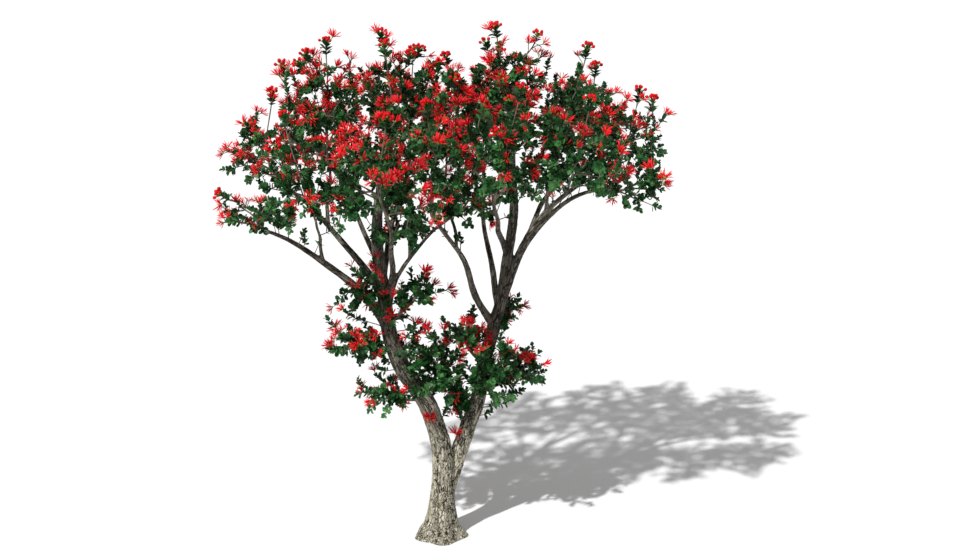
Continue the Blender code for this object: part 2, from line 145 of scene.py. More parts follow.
class Paint:
    # A material and the nodes that colour it
    def __init__(self, name, roughness, specular=0.2):
        self.material = bpy.data.materials.new(name)
        self.material.use_nodes = True
        self.tree = self.material.node_tree
        self.shader = self.tree.nodes["Principled BSDF"]
        self.shader.inputs["Roughness"].default_value = roughness
        self.shader.inputs["Specular IOR Level"].default_value = specular

    def add(self, kind, inputs, output=0, **settings):
        node = self.tree.nodes.new("ShaderNode" + kind)
        for key, value in settings.items():
            setattr(node, key, value)
        for key, value in inputs.items():
            if isinstance(value, bpy.types.NodeSocket):
                self.tree.links.new(value, node.inputs[key])
            else:
                node.inputs[key].default_value = value
        return node.outputs[output]

    def mix(self, share, first, second):
        pair = [(*colour, 1) if isinstance(colour, tuple) else colour for colour in (first, second)]
        return self.add("Mix", {0: share, 6: pair[0], 7: pair[1]}, 2, data_type="RGBA", blend_type="MIX")

    def spread(self, value, low, high, toLow=0.0, toHigh=1.0):
        inputs = {"Value": value, "From Min": low, "From Max": high, "To Min": toLow, "To Max": toHigh}
        return self.add("MapRange", inputs, "Result")

    def noise(self, place, scale, detail=2.0, rough=0.5):
        inputs = {"Vector": place, "Scale": scale, "Detail": detail, "Roughness": rough}
        return self.add("TexNoise", inputs, "Fac")

    def sum(self, first, second, operation="ADD"):
        return self.add("Math", {0: first, 1: second}, operation=operation)

    def times(self, *factors):
        result = factors[0]
        for factor in factors[1:]:
            result = self.sum(result, factor, "MULTIPLY")
        return result

    def clouds(self, dark, bright, scale, detail, low, high):
        # Two colours in clouds, and the clouds
        cloud = self.noise(self.add("TexCoord", {}, "Object"), scale, detail)
        return self.mix(self.spread(cloud, low, high), dark, bright), cloud

    def onMap(self, axis):
        return self.add("SeparateXYZ", {"Vector": self.add("TexCoord", {}, "UV")}, axis)

    def close(self, colour, rise, strength, distance=0.001):
        # The base colour, and a bump as high as `rise`
        bump = self.add("Bump", {"Strength": strength, "Distance": distance, "Height": rise})
        self.tree.links.new(bump, self.shader.inputs["Normal"])
        self.tree.links.new(colour, self.shader.inputs["Base Color"])
        return self.material


# The limbs, as the solids have them. Each leaves its parent at a share of the parent's length and
# bends evenly from one heading and rise to another. `thick` is its radius at either end.

Limb = namedtuple("Limb", "name parent along tip leave arrive thick")
trunkLimbs = [Limb(*row) for row in (
    ("trunk", None, 0, (0, -0.02, 0.7), (0, 90), (183, 79), (0.092, 0.067)),
    ("trunk_arm", "trunk", 0.3, (0.164, 0.05, 0.7), (8, 76), (10, 71), (0.062, 0.056)),
)]
stems = [Limb(*row) for row in (
    ("left_stem", "trunk", 1, (-0.295, -0.06, 1.36), (183, 79), (178, 70), (0.067, 0.057)),
    ("right_stem", "trunk_arm", 1, (0.37, 0.15, 1.48), (10, 71), (14, 78), (0.056, 0.046)),
    ("left_leader", "left_stem", 1, (-0.345, 0.05, 2.66), (178, 70), (10, 86), (0.057, 0.026)),
    ("right_leader", "right_stem", 1, (0.48, 0.12, 2.65), (14, 68), (30, 89), (0.046, 0.024)),
)]
boughs = [Limb(*row) for row in (
    ("far_left_bough", "left_leader", 0.07, (-1.1, -0.15, 2.17), (186, 67), (182, 21), (0.038, 0.012)),
    ("left_riser", "far_left_bough", 0.6, (-0.745, -0.38, 2.28), (230, 80), (250, 70), (0.014, 0.009)),
    ("left_bough", "left_leader", 0.26, (-0.98, 0.15, 2.38), (175, 59), (172, 36), (0.029, 0.012)),
    ("left_high_bough", "left_bough", 0.62, (-0.72, 0.1, 2.6), (120, 72), (170, 76), (0.015, 0.01)),
    ("back_left_bough", "left_leader", 0.25, (-0.68, 0.56, 2.34), (112, 79), (125, 42), (0.026, 0.012)),
    ("front_left_bough", "left_leader", 0.22, (-0.28, -0.62, 2.34), (330, 76), (258, 48), (0.027, 0.012)),
    ("rear_left_bough", "left_leader", 0.34, (-0.22, 0.66, 2.5), (60, 78), (84, 46), (0.024, 0.012)),
    ("centre_bough", "left_leader", 0.13, (0.02, -0.28, 2.23), (350, 84), (338, 38), (0.02, 0.01)),
    ("centre_riser", "centre_bough", 0.6, (-0.17, -0.3, 2.36), (240, 84), (240, 76), (0.012, 0.008)),
    ("inner_bough", "right_stem", 0.96, (-0.02, -0.5, 2.34), (208, 58), (212, 50), (0.029, 0.012)),
    ("inner_riser", "inner_bough", 0.72, (0.05, 0, 2.46), (85, 72), (90, 82), (0.013, 0.009)),
    ("rear_right_bough", "right_leader", 0.07, (0.29, 0.72, 2.42), (165, 76), (92, 50), (0.025, 0.012)),
    ("front_right_bough", "right_leader", 0.38, (0.36, -0.52, 2.42), (240, 70), (265, 48), (0.024, 0.012)),
    ("right_low_bough", "right_leader", 0.1, (1.03, -0.28, 2.46), (338, 67), (350, 8), (0.028, 0.012)),
    ("right_low_riser", "right_low_bough", 0.62, (0.82, -0.46, 2.52), (290, 74), (300, 70), (0.013, 0.009)),
    ("right_bough", "right_leader", 0.22, (1.05, 0.12, 2.48), (5, 65), (0, 16), (0.031, 0.012)),
    ("right_riser", "right_bough", 0.56, (0.74, 0.1, 2.6), (20, 84), (100, 86), (0.015, 0.01)),
    ("right_back_bough", "right_bough", 0.4, (0.92, 0.56, 2.46), (60, 60), (42, 34), (0.02, 0.012)),
)]
limbs = trunkLimbs + stems + boughs

limbRule = {
    "step": 0.02,  # between points of a limb's line
    "fewest": 6,
    "thinning": 0.8,
    "sway": 0.016,  # for its length
    "waves": (2.3, 2.9),  # half turns of the sway, along X and along Y
    "barkEvery": 2,  # every how many of its points count for the bark, and for the twigs
    "twigEvery": 4,
    "batch": 8000,  # points measured at once
}


def bend(start, leave, arrive, end, share):
    third = (end - start).length / 3
    a, b, t = start + leave * third, end - arrive * third, share
    return start * (1 - t) ** 3 + a * 3 * t * (1 - t) ** 2 + b * 3 * t * t * (1 - t) + end * t ** 3


def alongLimb(line, share):
    place = share * (len(line["points"]) - 1)
    i = min(int(place), len(line["points"]) - 2)
    t = place - i
    a, b = Vector(line["points"][i]), Vector(line["points"][i + 1])
    radius = line["radii"][i] * (1 - t) + line["radii"][i + 1] * t
    return a.lerp(b, t), (b - a).normalized(), radius


def measured(points):
    # The lengths of a line's steps, and how far along it each of its points lies
    steps = np.linalg.norm(np.diff(points, axis=0), axis=1)
    return steps, np.concatenate(([0], np.cumsum(steps)))


def limbLines():
    lines = {}
    for limb in limbs:
        rng = random.Random(limb.name)
        start = alongLimb(lines[limb.parent], limb.along)[0] if limb.parent else Vector()
        tip, leave, arrive = Vector(limb.tip), toward(*limb.leave), toward(*limb.arrive)
        length = (tip - start).length
        sway = 0 if limb in trunkLimbs else limbRule["sway"] * length
        turns = [rng.uniform(0, math.tau) for _ in range(2)]
        count = max(limbRule["fewest"], round(length / limbRule["step"]))
        points, radii = [], []
        for i in range(count + 1):
            t = i / count
            point = bend(start, leave, arrive, tip, t)
            for axis, wave in enumerate(limbRule["waves"]):
                point[axis] += sway * math.sin(math.pi * t) * math.sin(wave * math.pi * t + turns[axis])
            points.append(tuple(point))
            radii.append(limb.thick[0] + (limb.thick[1] - limb.thick[0]) * t ** limbRule["thinning"])
        lines[limb.name] = {"points": np.array(points), "radii": np.array(radii), "endWay": arrive}
    return lines


class Wood:
    # The limbs' surfaces, for how far a point is from the nearest and where along it that is
    def __init__(self, lines, every):
        rows = []
        for number, line in enumerate(lines.values()):
            keep = sorted({*range(0, len(line["points"]), every), len(line["points"]) - 1})
            points, radii = line["points"][keep], line["radii"][keep]
            gone = measured(points)[1]
            rows.append((points[:-1], np.diff(points, axis=0), np.c_[radii[:-1], radii[1:]],
                         np.full(len(keep) - 1, number), np.c_[gone[:-1], np.diff(gone)]))
        self.starts, self.steps, self.radii, self.owner, self.lengths = map(np.concatenate, zip(*rows))

    def near(self, centre, reach):
        part = object.__new__(Wood)
        keep = self.measure(np.array([centre]))[2][0] < reach
        for key, rows in vars(self).items():
            setattr(part, key, rows[keep])
        return part

    def measure(self, points):
        # From each limb's stretch to each point: the share along it, the way out and the gap
        away = points[:, None, :] - self.starts[None]
        share = np.clip((away * self.steps).sum(2) / (self.steps ** 2).sum(1), 0, 1)
        out = away - share[..., None] * self.steps
        radius = self.radii[:, 0] + (self.radii[:, 1] - self.radii[:, 0]) * share
        return share, out, np.linalg.norm(out, axis=2) - radius

    def clear(self, points, margin):
        return (self.measure(points)[2] >= margin).all(1)

    def places(self, points):
        # Each point's limb, how far along it lies, and its way out from the middle line
        found = []
        for low in range(0, len(points), limbRule["batch"]):
            share, out, gap = self.measure(points[low:low + limbRule["batch"]])
            best = gap.argmin(1)
            row = np.arange(len(best))
            along = self.lengths[best, 0] + self.lengths[best, 1] * share[row, best]
            found.append((self.owner[best], along, out[row, best]))
        return map(np.concatenate, zip(*found))


# Bark: tubes along the limbs, joined and smoothed into one skin, then cut with fissures

bark = {  # pairs are for the trunk's skin and for the limbs'
    "split": 0.74,  # height where the two meet
    "overlap": (0.12, 0.2),  # of their tubes, past the split
    "below": 0.04,  # how far the trunk's tube starts under the ground
    "tuck": 0.012,  # how far the limbs' skin reaches down inside the trunk's
    "tuckDepth": (0, 0.0035),
    "tuckTop": 0.002,  # how far above the split it is drawn in
    "rounding": (14, 8),  # of the tubes
    "grain": (0.0034, 0.0064),
    "smoothing": (5, 2),
    "depth": (0.0080, 0.0026),  # of the fissures
    "plate": (0.024, 0.020),  # across a plate of bark
    "stretch": (0.36, 0.17),  # a plate's width for its length
    "change": (0.62, 0.5),  # the height where one turns to the other, and over how much of it
    "shifts": (0.37, 0.0, 0.21),  # of the pattern, from limb to limb
    "level": 0.7,  # the relief that moves nothing
    "thin": 0.03,  # a limb's radius under which the relief fades
    "swell": 0.003,  # of the broad lumps
    "lumps": (9, 21),
    "lobes": 5,  # round the foot
    "lobeDepth": 0.10,
    "lobeTurn": 0.7,
    "lobeTop": 0.5,
    "flare": 0.084,  # the foot's extra radius at the ground
    "flareFade": 0.105,
}


def tubes(name, runs, rounding):
    # Closed tubes round the lines, as one mesh
    curve = bpy.data.curves.new(name, "CURVE")
    curve.dimensions = "3D"
    curve.bevel_depth = 1
    curve.bevel_resolution = rounding
    curve.use_fill_caps = True
    for points, radii in runs:
        spline = curve.splines.new("POLY")
        spline.points.add(len(points) - 1)
        spline.points.foreach_set("co", np.c_[points, np.ones(len(points))].ravel())
        spline.points.foreach_set("radius", radii)
    holder = link(name, curve)
    data = finished(holder)
    data.name = name
    bpy.data.objects.remove(holder)
    bpy.data.curves.remove(curve)
    return link(name, data)


def finished(thing):
    graph = bpy.context.evaluated_depsgraph_get()
    return bpy.data.meshes.new_from_object(thing.evaluated_get(graph))


def flare(height):
    return math.exp(-max(height, 0) / bark["flareFade"])


def joinSkin(thing, grain):
    remesh = thing.modifiers.new("skin", "REMESH")
    remesh.mode = "VOXEL"
    remesh.voxel_size = grain
    data = finished(thing)
    thing.modifiers.clear()
    thing.data = data


def keepBetween(mesh, low, high):
    for height, side in ((low, -1), (high, 1)):
        if height is None:
            continue
        geometry = mesh.verts[:] + mesh.edges[:] + mesh.faces[:]
        cut = bmesh.ops.bisect_plane(
            mesh, geom=geometry, dist=1e-5, plane_co=(0, 0, height), plane_no=(0, 0, side), clear_outer=True)
        rim = [item for item in cut["geom_cut"] if isinstance(item, bmesh.types.BMEdge)]
        bmesh.ops.holes_fill(mesh, edges=rim, sides=0)
    bmesh.ops.triangulate(mesh, faces=[face for face in mesh.faces if len(face.verts) > 4])


cracks = {  # for places in units of a plate's width
    "warp": 0.5,
    "warpScale": 1.1,
    "edgeWidth": 0.26,
    "edgeDepth": 1.3,
    "lineScale": 1.4,
    "lineShift": Vector((7, 3, 1)),
    "lineWidth": 0.16,
    "lineDepth": 0.8,
    "wornScale": 0.7,
    "wornShift": Vector((1, 9, 4)),
    "roughScale": 4.3,
    "roughDepth": 0.22,
    "depths": (0.7, 0.3),  # of the cuts, and what roughness adds to them
}


def reliefAt(place):
    # 0 in a fissure and 1 on a plate
    near = noise.voronoi(place + noise.noise_vector(place * cracks["warpScale"]) * cracks["warp"])[0]
    edge = max(0, 1 - (near[1] - near[0]) / cracks["edgeWidth"])
    line = abs(noise.noise(place * cracks["lineScale"] + cracks["lineShift"]))
    line = max(0, 1 - line / cracks["lineWidth"])
    worn = 0.5 + 0.5 * noise.noise(place * cracks["wornScale"] + cracks["wornShift"])
    rough = 0.5 + 0.5 * noise.noise(place * cracks["roughScale"])
    cut = max(edge * worn * cracks["edgeDepth"], line * cracks["lineDepth"])
    cut *= cracks["depths"][0] + cracks["depths"][1] * rough
    return max(0, min(1, 1 - cut - cracks["roughDepth"] * rough))


def cutBark(data, wood, grain):
    # Lobes of the foot, broad lumps and fissures, and the attributes that the material reads
    points, normals = (np.empty(len(data.vertices) * 3, np.float32) for _ in range(2))
    data.vertices.foreach_get("co", points)
    data.vertices.foreach_get("normal", normals)
    points, normals = (row.reshape(-1, 3).astype(float) for row in (points, normals))
    owner, along, out = wood.places(points)
    relief, places = np.zeros(len(points)), np.zeros((len(points), 3))
    start, over = bark["change"]
    for i in range(len(points)):
        point, radial = Vector(points[i]), Vector(out[i])
        tone = min(1, max(0, (point.z - start) / over))
        stretch, plate, depth = (bark[key][0] * (1 - tone) + bark[key][1] * tone
                                 for key in ("stretch", "plate", "depth"))
        shift = Vector(owner[i] * part for part in bark["shifts"])
        place = radial + toward(*limbs[owner[i]].leave) * along[i] * stretch + shift
        places[i], relief[i] = place, reliefAt(place / plate)
        thin = min(1, radial.length / bark["thin"])
        lump = noise.noise(point * bark["lumps"][0]) + 0.5 * noise.noise(point * bark["lumps"][1])
        move = (relief[i] - bark["level"]) * depth * thin + lump * bark["swell"] * thin
        if point.z < bark["lobeTop"] and owner[i] == 0:
            lobes = math.cos(bark["lobes"] * math.atan2(out[i][1], out[i][0]) + bark["lobeTurn"])
            move += radial.length * bark["lobeDepth"] * flare(point.z) * lobes
        points[i] += normals[i] * move
    onGround = points[:, 2] < grain
    points[:, 2] = np.where(onGround, np.maximum(points[:, 2], 0), points[:, 2])
    data.vertices.foreach_set("co", points.astype(np.float32).ravel())
    data.attributes.new("relief", "FLOAT", "POINT").data.foreach_set("value", relief.astype(np.float32))
    placed = data.attributes.new("barkPlace", "FLOAT_VECTOR", "POINT")
    placed.data.foreach_set("vector", places.astype(np.float32).ravel())
    data.update()


barkPaint = {
    "roughness": 0.88,
    "bump": (0.8, 0.004),  # strength and height
    "drift": (55, 3),  # scale and detail of the noise that moves the pattern
    "driftBy": 0.010,  # and how far
    "flakes": 50,  # across a metre
    "low": ((0.23, 0.21, 0.15), (0.62, 0.58, 0.46)),
    "high": ((0.075, 0.066, 0.050), (0.22, 0.20, 0.16)),
    # the dark colour of the cracks and flecks, also laid as painted shade where the relief sinks
    "lowCrackAndShade": (0.015, 0.012, 0.008),
    "highCrackAndShade": (0.018, 0.015, 0.012),
    "lichen": (0.50, 0.48, 0.31),
    "noises": {  # how many across a metre, with what detail and roughness
        "fine": (380, 4, 0.65),
        "blotch": (34, 3, 0.55),
        "flecks": (165, 2, 0.6),  # short dark marks
        "gathering": (20, 2, 0.5),  # how their number varies
        "tone": (6, 3),
        "lichen": (30, 3, 0.6),
    },
    "ranges": {  # from and to, and then the new from and to where they aren't 0 and 1
        "crack": (0.38, 0.62, 0.01, 0.15),
        "plate": (0.45, 1.35),
        # of the relief: below this the bark is painted darker, as shade in its fissures
        "relief": (0.40, 0.70),
        "gathering": (0.3, 0.7, -0.2, 0.2),
        "flecks": (0.33, 0.40),
        "tone": (1.0, 1.6),
        "shade": (0.42, 0.86),
        "fineShade": (0.35, 0.7, -0.1, 0.35),
        "lichen": (0.60, 0.70, 0, 0.6),
        "lichenHeight": (1.0, 0.3),
    },
    "shares": {  # of a noise or value in a sum
        "fineInCrack": 0.9,
        "fineInRelief": 0.3,
        "noiseInTone": 0.8,
        "cellInShade": 0.35,
        "shade": 0.75,
        "fineInBump": 0.5,
    },
}


def barkMaterial():
    paint = Paint("weatheredBark", barkPaint["roughness"])
    spot = paint.add("TexCoord", {}, "Object")
    place = paint.add("Attribute", {}, "Vector", attribute_name="barkPlace")
    relief = paint.add("Attribute", {}, "Fac", attribute_name="relief")
    height = paint.add("SeparateXYZ", {"Vector": spot}, "Z")
    noises = barkPaint["noises"]
    scale, detail = barkPaint["drift"]
    drift = paint.add("TexNoise", {"Vector": place, "Scale": scale, "Detail": detail}, "Color")
    drift = paint.add("VectorMath", {0: drift, 1: (0.5, 0.5, 0.5)}, operation="SUBTRACT")
    drift = paint.add("VectorMath", {0: drift, "Scale": barkPaint["driftBy"]}, operation="SCALE")
    warped = paint.add("VectorMath", {0: place, 1: drift}, operation="ADD")
    fine, blotch, gathering = (
        paint.noise(place, *noises[key]) for key in ("fine", "blotch", "gathering"))

    def ranged(key, value):
        return paint.spread(value, *barkPaint["ranges"][key])

    def part(key, value):
        return paint.times(value, barkPaint["shares"][key])

    inputs = {"Vector": warped, "Scale": barkPaint["flakes"]}
    edges = paint.add("TexVoronoi", inputs, "Distance", feature="DISTANCE_TO_EDGE")
    cells = paint.add("TexVoronoi", inputs, "Color", feature="F1")
    cell = paint.add("SeparateXYZ", {"Vector": cells}, "X")
    crack = paint.sum(edges, ranged("crack", blotch), "DIVIDE")
    plate = ranged("plate", paint.sum(crack, part("fineInCrack", fine)))
    # painted shade: darker where the relief sinks, on top of the cracks' own dark pattern
    recessShade = ranged("relief", paint.sum(relief, part("fineInRelief", fine)))
    marks = paint.sum(paint.noise(warped, *noises["flecks"]), ranged("gathering", gathering))
    bare = paint.times(plate, recessShade, ranged("flecks", marks))
    toneNoise = part("noiseInTone", paint.noise(spot, *noises["tone"]))
    tone = ranged("tone", paint.sum(height, toneNoise))
    shade = ranged("shade", paint.sum(part("cellInShade", cell), blotch))
    shade = paint.sum(part("shade", shade), ranged("fineShade", fine))
    low, high = (paint.mix(shade, *barkPaint[key]) for key in ("low", "high"))
    # the dark colour for the cracks and flecks, and for the painted shade in the fissures
    crackAndShadeTone = paint.mix(tone, barkPaint["lowCrackAndShade"], barkPaint["highCrackAndShade"])
    colour = paint.mix(bare, crackAndShadeTone, paint.mix(tone, low, high))
    spots = ranged("lichen", paint.noise(spot, *noises["lichen"]))
    lichen = paint.times(spots, ranged("lichenHeight", height), bare)
    colour = paint.mix(lichen, colour, barkPaint["lichen"])
    return paint.close(colour, paint.sum(bare, part("fineInBump", fine)), *barkPaint["bump"])


def makeSkin(name, side, runs, low, high, wood):
    # The skin round some runs of limb, the trunk's or the limbs' by `side`, and cut off at two heights
    thing = tubes(name, runs, bark["rounding"][side])
    joinSkin(thing, bark["grain"][side])
    mesh = bmesh.new()
    mesh.from_mesh(thing.data)
    for _ in range(bark["smoothing"][side]):
        bmesh.ops.smooth_vert(mesh, verts=mesh.verts[:], factor=0.5,
                              use_axis_x=True, use_axis_y=True, use_axis_z=True)
    keepBetween(mesh, low, high)
    mesh.normal_update()
    if bark["tuckDepth"][side]:
        for vert in mesh.verts:
            if vert.co.z < bark["split"] + bark["tuckTop"]:
                vert.co -= vert.normal * bark["tuckDepth"][side]
    mesh.to_mesh(thing.data)
    mesh.free()
    cutBark(thing.data, wood, bark["grain"][side])
    thing.data.shade_smooth()
    return thing


def makeBark(lines, wood):
    def partOf(name, low=0, high=math.inf):
        line = lines[name]
        keep = (line["points"][:, 2] > low) & (line["points"][:, 2] < high)
        return line["points"][keep], line["radii"][keep]

    trunk, split = lines["trunk"], bark["split"]
    flared = [r + bark["flare"] * flare(p[2]) * r / trunkLimbs[0].thick[0]
              for p, r in zip(trunk["points"], trunk["radii"])]
    runs = [(np.array([(0, 0, -bark["below"]), *trunk["points"]]), [flared[0], *flared])]
    top, bottom = split + bark["overlap"][0], split - bark["overlap"][1]
    runs += [partOf(name, 0, top) for name in ("trunk_arm", "left_stem", "right_stem")]
    trunkBark = makeSkin("trunkBark", 0, runs, 0, split, wood)
    runs = [partOf(limb.name, bottom) for limb in trunkLimbs]
    runs += [partOf(limb.name) for limb in stems + boughs]
    limbBark = makeSkin("limbBark", 1, runs, split - bark["tuck"], None, wood)
    material = barkMaterial()
    dress(trunkBark, material, "bark", "trunk")
    dress(limbBark, material, "bark", *[limb.name for limb in stems + boughs])
    print("bark:", len(trunkBark.data.polygons), "and", len(limbBark.data.polygons), "faces")


# The masses of foliage. Each grows from a share of its limb through a space of that centre and half
# size, with `tips` main twigs, of which `shoots` stand out of the top, the tallest with the heading
# `lean`. `bloom` is the share of its fine twigs that end in blossom, and `fill` how many it has
# against the usual number. A mass of the crown grows from its limb's end, and a sprout has no shoots.

Mass = namedtuple("Mass", "kind name limb along centre half tips shoots lean bloom fill")
crownRows = (
    ("far_left", "far_left_bough", (-1.17, -0.14, 2.26), (0.22, 0.24, 0.11), 7, 0, 0, 0.5, 0.44),
    ("left", "left_bough", (-1.13, 0.18, 2.6), (0.24, 0.3, 0.26), 8, 1, 70, 0.58, 0.52),
    ("left_front", "left_riser", (-0.8, -0.5, 2.51), (0.3, 0.3, 0.28), 8, 1, 150, 0.28, 0.74),
    ("left_top", "left_high_bough", (-0.7, 0.08, 2.95), (0.3, 0.32, 0.25), 9, 3, 100, 0.48, 0.95),
    ("left_back", "back_left_bough", (-0.78, 0.66, 2.64), (0.32, 0.33, 0.28), 8, 1, 140, 0.28, 0.7),
    ("front_left", "front_left_bough", (-0.32, -0.8, 2.56), (0.3, 0.28, 0.28), 8, 1, 300, 0.32, 1),
    ("rear_left", "rear_left_bough", (-0.22, 0.78, 2.8), (0.3, 0.35, 0.28), 8, 1, 80, 0.36, 1),
    ("centre_left", "left_leader", (-0.29, 0.08, 2.98), (0.28, 0.32, 0.27), 9, 3, 128, 0.48, 1.05),
    ("centre_low", "centre_bough", (0.2, -0.24, 2.38), (0.19, 0.18, 0.16), 6, 0, 0, 0.24, 1.15),
    ("inner_left", "centre_riser", (-0.22, -0.34, 2.66), (0.25, 0.22, 0.26), 8, 1, 20, 0.46, 0.94),
    ("front", "inner_bough", (0.02, -0.68, 2.62), (0.24, 0.26, 0.28), 8, 1, 240, 0.44, 0.88),
    ("centre", "inner_riser", (0.08, 0, 2.86), (0.25, 0.3, 0.32), 8, 1, 180, 0.64, 0.92),
    ("rear_right", "rear_right_bough", (0.34, 0.79, 2.76), (0.3, 0.34, 0.3), 8, 1, 60, 0.26, 1),
    ("front_right", "front_right_bough", (0.41, -0.66, 2.68), (0.28, 0.28, 0.3), 8, 1, 330, 0.2, 1),
    ("right_top", "right_leader", (0.46, 0.08, 3), (0.29, 0.32, 0.29), 10, 3, 227, 0.4, 1.08),
    ("right_high", "right_riser", (0.84, 0.06, 2.91), (0.28, 0.3, 0.26), 9, 2, 10, 0.22, 0.97),
    ("right_front", "right_low_riser", (0.85, -0.58, 2.68), (0.28, 0.26, 0.25), 8, 1, 310, 0.17, 1.08),
    ("right", "right_bough", (1.23, 0.16, 2.68), (0.24, 0.28, 0.22), 8, 1, 40, 0.28, 0.88),
    ("right_low", "right_low_bough", (1.23, -0.26, 2.48), (0.22, 0.22, 0.14), 7, 0, 0, 0.28, 0.72),
    ("right_back", "right_back_bough", (1, 0.62, 2.72), (0.3, 0.32, 0.27), 8, 1, 60, 0.26, 0.95),
)
sproutRows = (
    ("left_low", "left_stem", 0.96, (-0.55, -0.1, 1.4), (0.21, 0.2, 0.13), 6, (0.28, 0.95)),
    ("left_foot", "left_stem", 0.42, (-0.37, -0.14, 1.07), (0.15, 0.15, 0.1), 5, (0.5, 0.9)),
    ("far_left", "far_left_bough", 0.26, (-0.48, -0.2, 1.8), (0.16, 0.14, 0.15), 6, (0.4, 0.6)),
    ("leader", "left_leader", 0.12, (-0.12, -0.16, 1.78), (0.13, 0.14, 0.13), 6, (0.36, 0.55)),
    ("high", "left_leader", 0.55, (-0.16, -0.17, 2.2), (0.15, 0.14, 0.12), 5, (0.1, 0.8)),
    ("middle", "right_stem", 0.2, (-0.01, -0.11, 1.26), (0.26, 0.22, 0.27), 9, (0.26, 1.1)),
    ("inner", "right_stem", 0.62, (0.17, -0.11, 1.43), (0.12, 0.14, 0.15), 5, (0.2, 1.3)),
    ("fork", "right_stem", 0.36, (0.36, -0.15, 1.23), (0.19, 0.17, 0.21), 7, (0.13, 1.4)),
    ("right", "right_stem", 0.42, (0.57, 0.1, 1.18), (0.18, 0.2, 0.14), 6, (0.24, 1.1)),
    ("right_high", "right_stem", 0.94, (0.475, 0.22, 1.585), (0.08, 0.09, 0.08), 4, (0.34, 1)),
)
masses = [Mass("foliage", "foliage_" + name, limb, 1, *rest) for name, limb, *rest in crownRows]
masses += [Mass("sprout", "sprout_" + name, *rest, 0, 0, *ends) for name, *rest, ends in sproutRows]

twig = {
    "step": 0.035,
    "tipRadius": 0.0028,
    "shootRadius": 0.0042,  # at least, of the tall shoots' stems
    "sproutRadius": 0.011,
    "rootSunk": 0.006,  # how far a mass's stem starts inside its limb's end
    "wayHeld": 0.6,
    "upturn": 0.9,
    "lowUpturn": 0.35,  # the share of it low in the mass, and the height from which it grows
    "upturnFrom": -0.4,
    "turnCost": 0.55,
    "pathShare": 0.35,
    "tries": 5,
    "tipTop": 0.96,  # heights of the tips in their mass, from the top down
    "tipSpan": 1.5,
    "shell": 0.90,
    "shootReach": 1.55,
    "shootStep": 0.12,
    "shootTurn": 133,
    "shootRise": 74,
    "shootFall": 9,
    "spaceMargin": 0.003,
    "limbMargin": 0.006,
    "limbSearch": 1.7,
}
fineRules = {  # for the masses of the crown, and for the sprouts on the stems
    "foliage": {
        "perArea": 175,  # fine twigs for each square metre of a mass's outside
        "reach": 0.050,  # how far past the main twigs' shell they go
        "uneven": 0.40,  # how that outline wanders
        "gaps": -0.14,  # up to 0.5, the more of it is left open
        "span": 1.72,
        "depth": 0.5,  # how deep into the mass the innermost end
        "spires": 0.075,  # the share of the topmost that stand out as tall shoots
        "collar": 0,
        "leafy": (0.05, 0.115),
        "pairGap": 0.0125,
    },
    "sprout": {
        "perArea": 130,
        "reach": 0.045,
        "uneven": 0.75,
        "gaps": -0.25,
        "span": 1.90,
        "depth": 0.75,
        "spires": 0,
        "collar": 130,  # short twigs for each metre of the sprout's own stem
        "leafy": (0.09, 0.21),
        "pairGap": 0.0145,
    },
    "both": {
        "top": 0.985,
        "stray": 0.2,
        "gapNoise": (2.4, 7),  # how fine, and a number that makes each mass's another
        "wanderNoise": (1.7, 5),
        "outward": 1.7,  # more than 1 draws the ends to the outside
        "spireHeight": 0.5,
        "spireDepths": (1.12, 1.3),
        "collarDepth": 0.6,
        "collarRises": (-10, 60),
        "collarLengths": (0.035, 0.10),
    },
}


class Space:
    # The room of one mass: nearer to its centre than to any other's, and clear of every limb
    def __init__(self, mass, wood):
        others = [other for other in masses if other is not mass]
        self.centre, self.size = np.array(mass.centre), sum(mass.half) / 3
        self.others = np.array([other.centre for other in others])
        self.sizes = np.array([sum(other.half) / 3 for other in others])
        self.room = 2 * twig["spaceMargin"] * np.linalg.norm(self.others - self.centre, axis=1)
        self.clear = wood.near(mass.centre, max(mass.half) * twig["limbSearch"]).clear

    def holds(self, points):
        own = ((points - self.centre) ** 2).sum(1) - self.size ** 2
        far = ((points[:, None] - self.others[None]) ** 2).sum(2) - self.sizes ** 2
        return (far - own[:, None] >= self.room).all(1)


class Twigs:
    # The branching twigs of one mass, as points that each know the point before them
    def __init__(self, root, outward, heart):
        self.heart = heart
        self.points, self.before, self.ways, self.lengths = [root], [-1], [outward], [0.0]
        self.runs = []

    def curve(self, start, tip, upturn):
        gap = tip - self.points[start]
        outer = tip - self.heart if (tip - self.heart).length > 1e-6 else gap
        arrive = (outer.normalized() + up * upturn).normalized()
        leave = (self.ways[start] * twig["wayHeld"] + gap.normalized()).normalized()
        steps = max(2, round(gap.length / twig["step"]))
        return [bend(self.points[start], leave, arrive, tip, (i + 1) / steps) for i in range(steps)]

    def cheapest(self, tip):
        gaps = np.array(tip) - np.array(self.points)
        long = np.linalg.norm(gaps, axis=1) + 1e-9
        turn = 1 - (np.array(self.ways) * gaps).sum(1) / long
        cost = long * (1 + twig["turnCost"] * turn) + twig["pathShare"] * np.array(self.lengths)
        cost[0] = math.inf
        return np.argsort(cost)[:twig["tries"]]

    def add(self, start, curve):
        run = [int(start)]
        for point in curve:
            last = run[-1]
            step = point - self.points[last]
            self.points.append(point)
            self.before.append(last)
            self.ways.append(step.normalized())
            self.lengths.append(self.lengths[last] + step.length)
            run.append(len(self.points) - 1)
        self.runs.append(run)

    def radii(self, rootRadius):
        load = [0] * len(self.points)
        for run in self.runs:
            i = run[-1]
            while i >= 0:
                load[i] += 1
                i = self.before[i]
        thin = twig["tipRadius"]
        return [thin + (rootRadius - thin) * math.sqrt((n - 1) / (load[0] - 1)) for n in load]


def scaled(direction, half):
    return Vector(a * b for a, b in zip(direction, half))


def outwardAt(height, turn):
    flat = math.sqrt(1 - height * height)
    return flat * math.cos(turn), flat * math.sin(turn), height


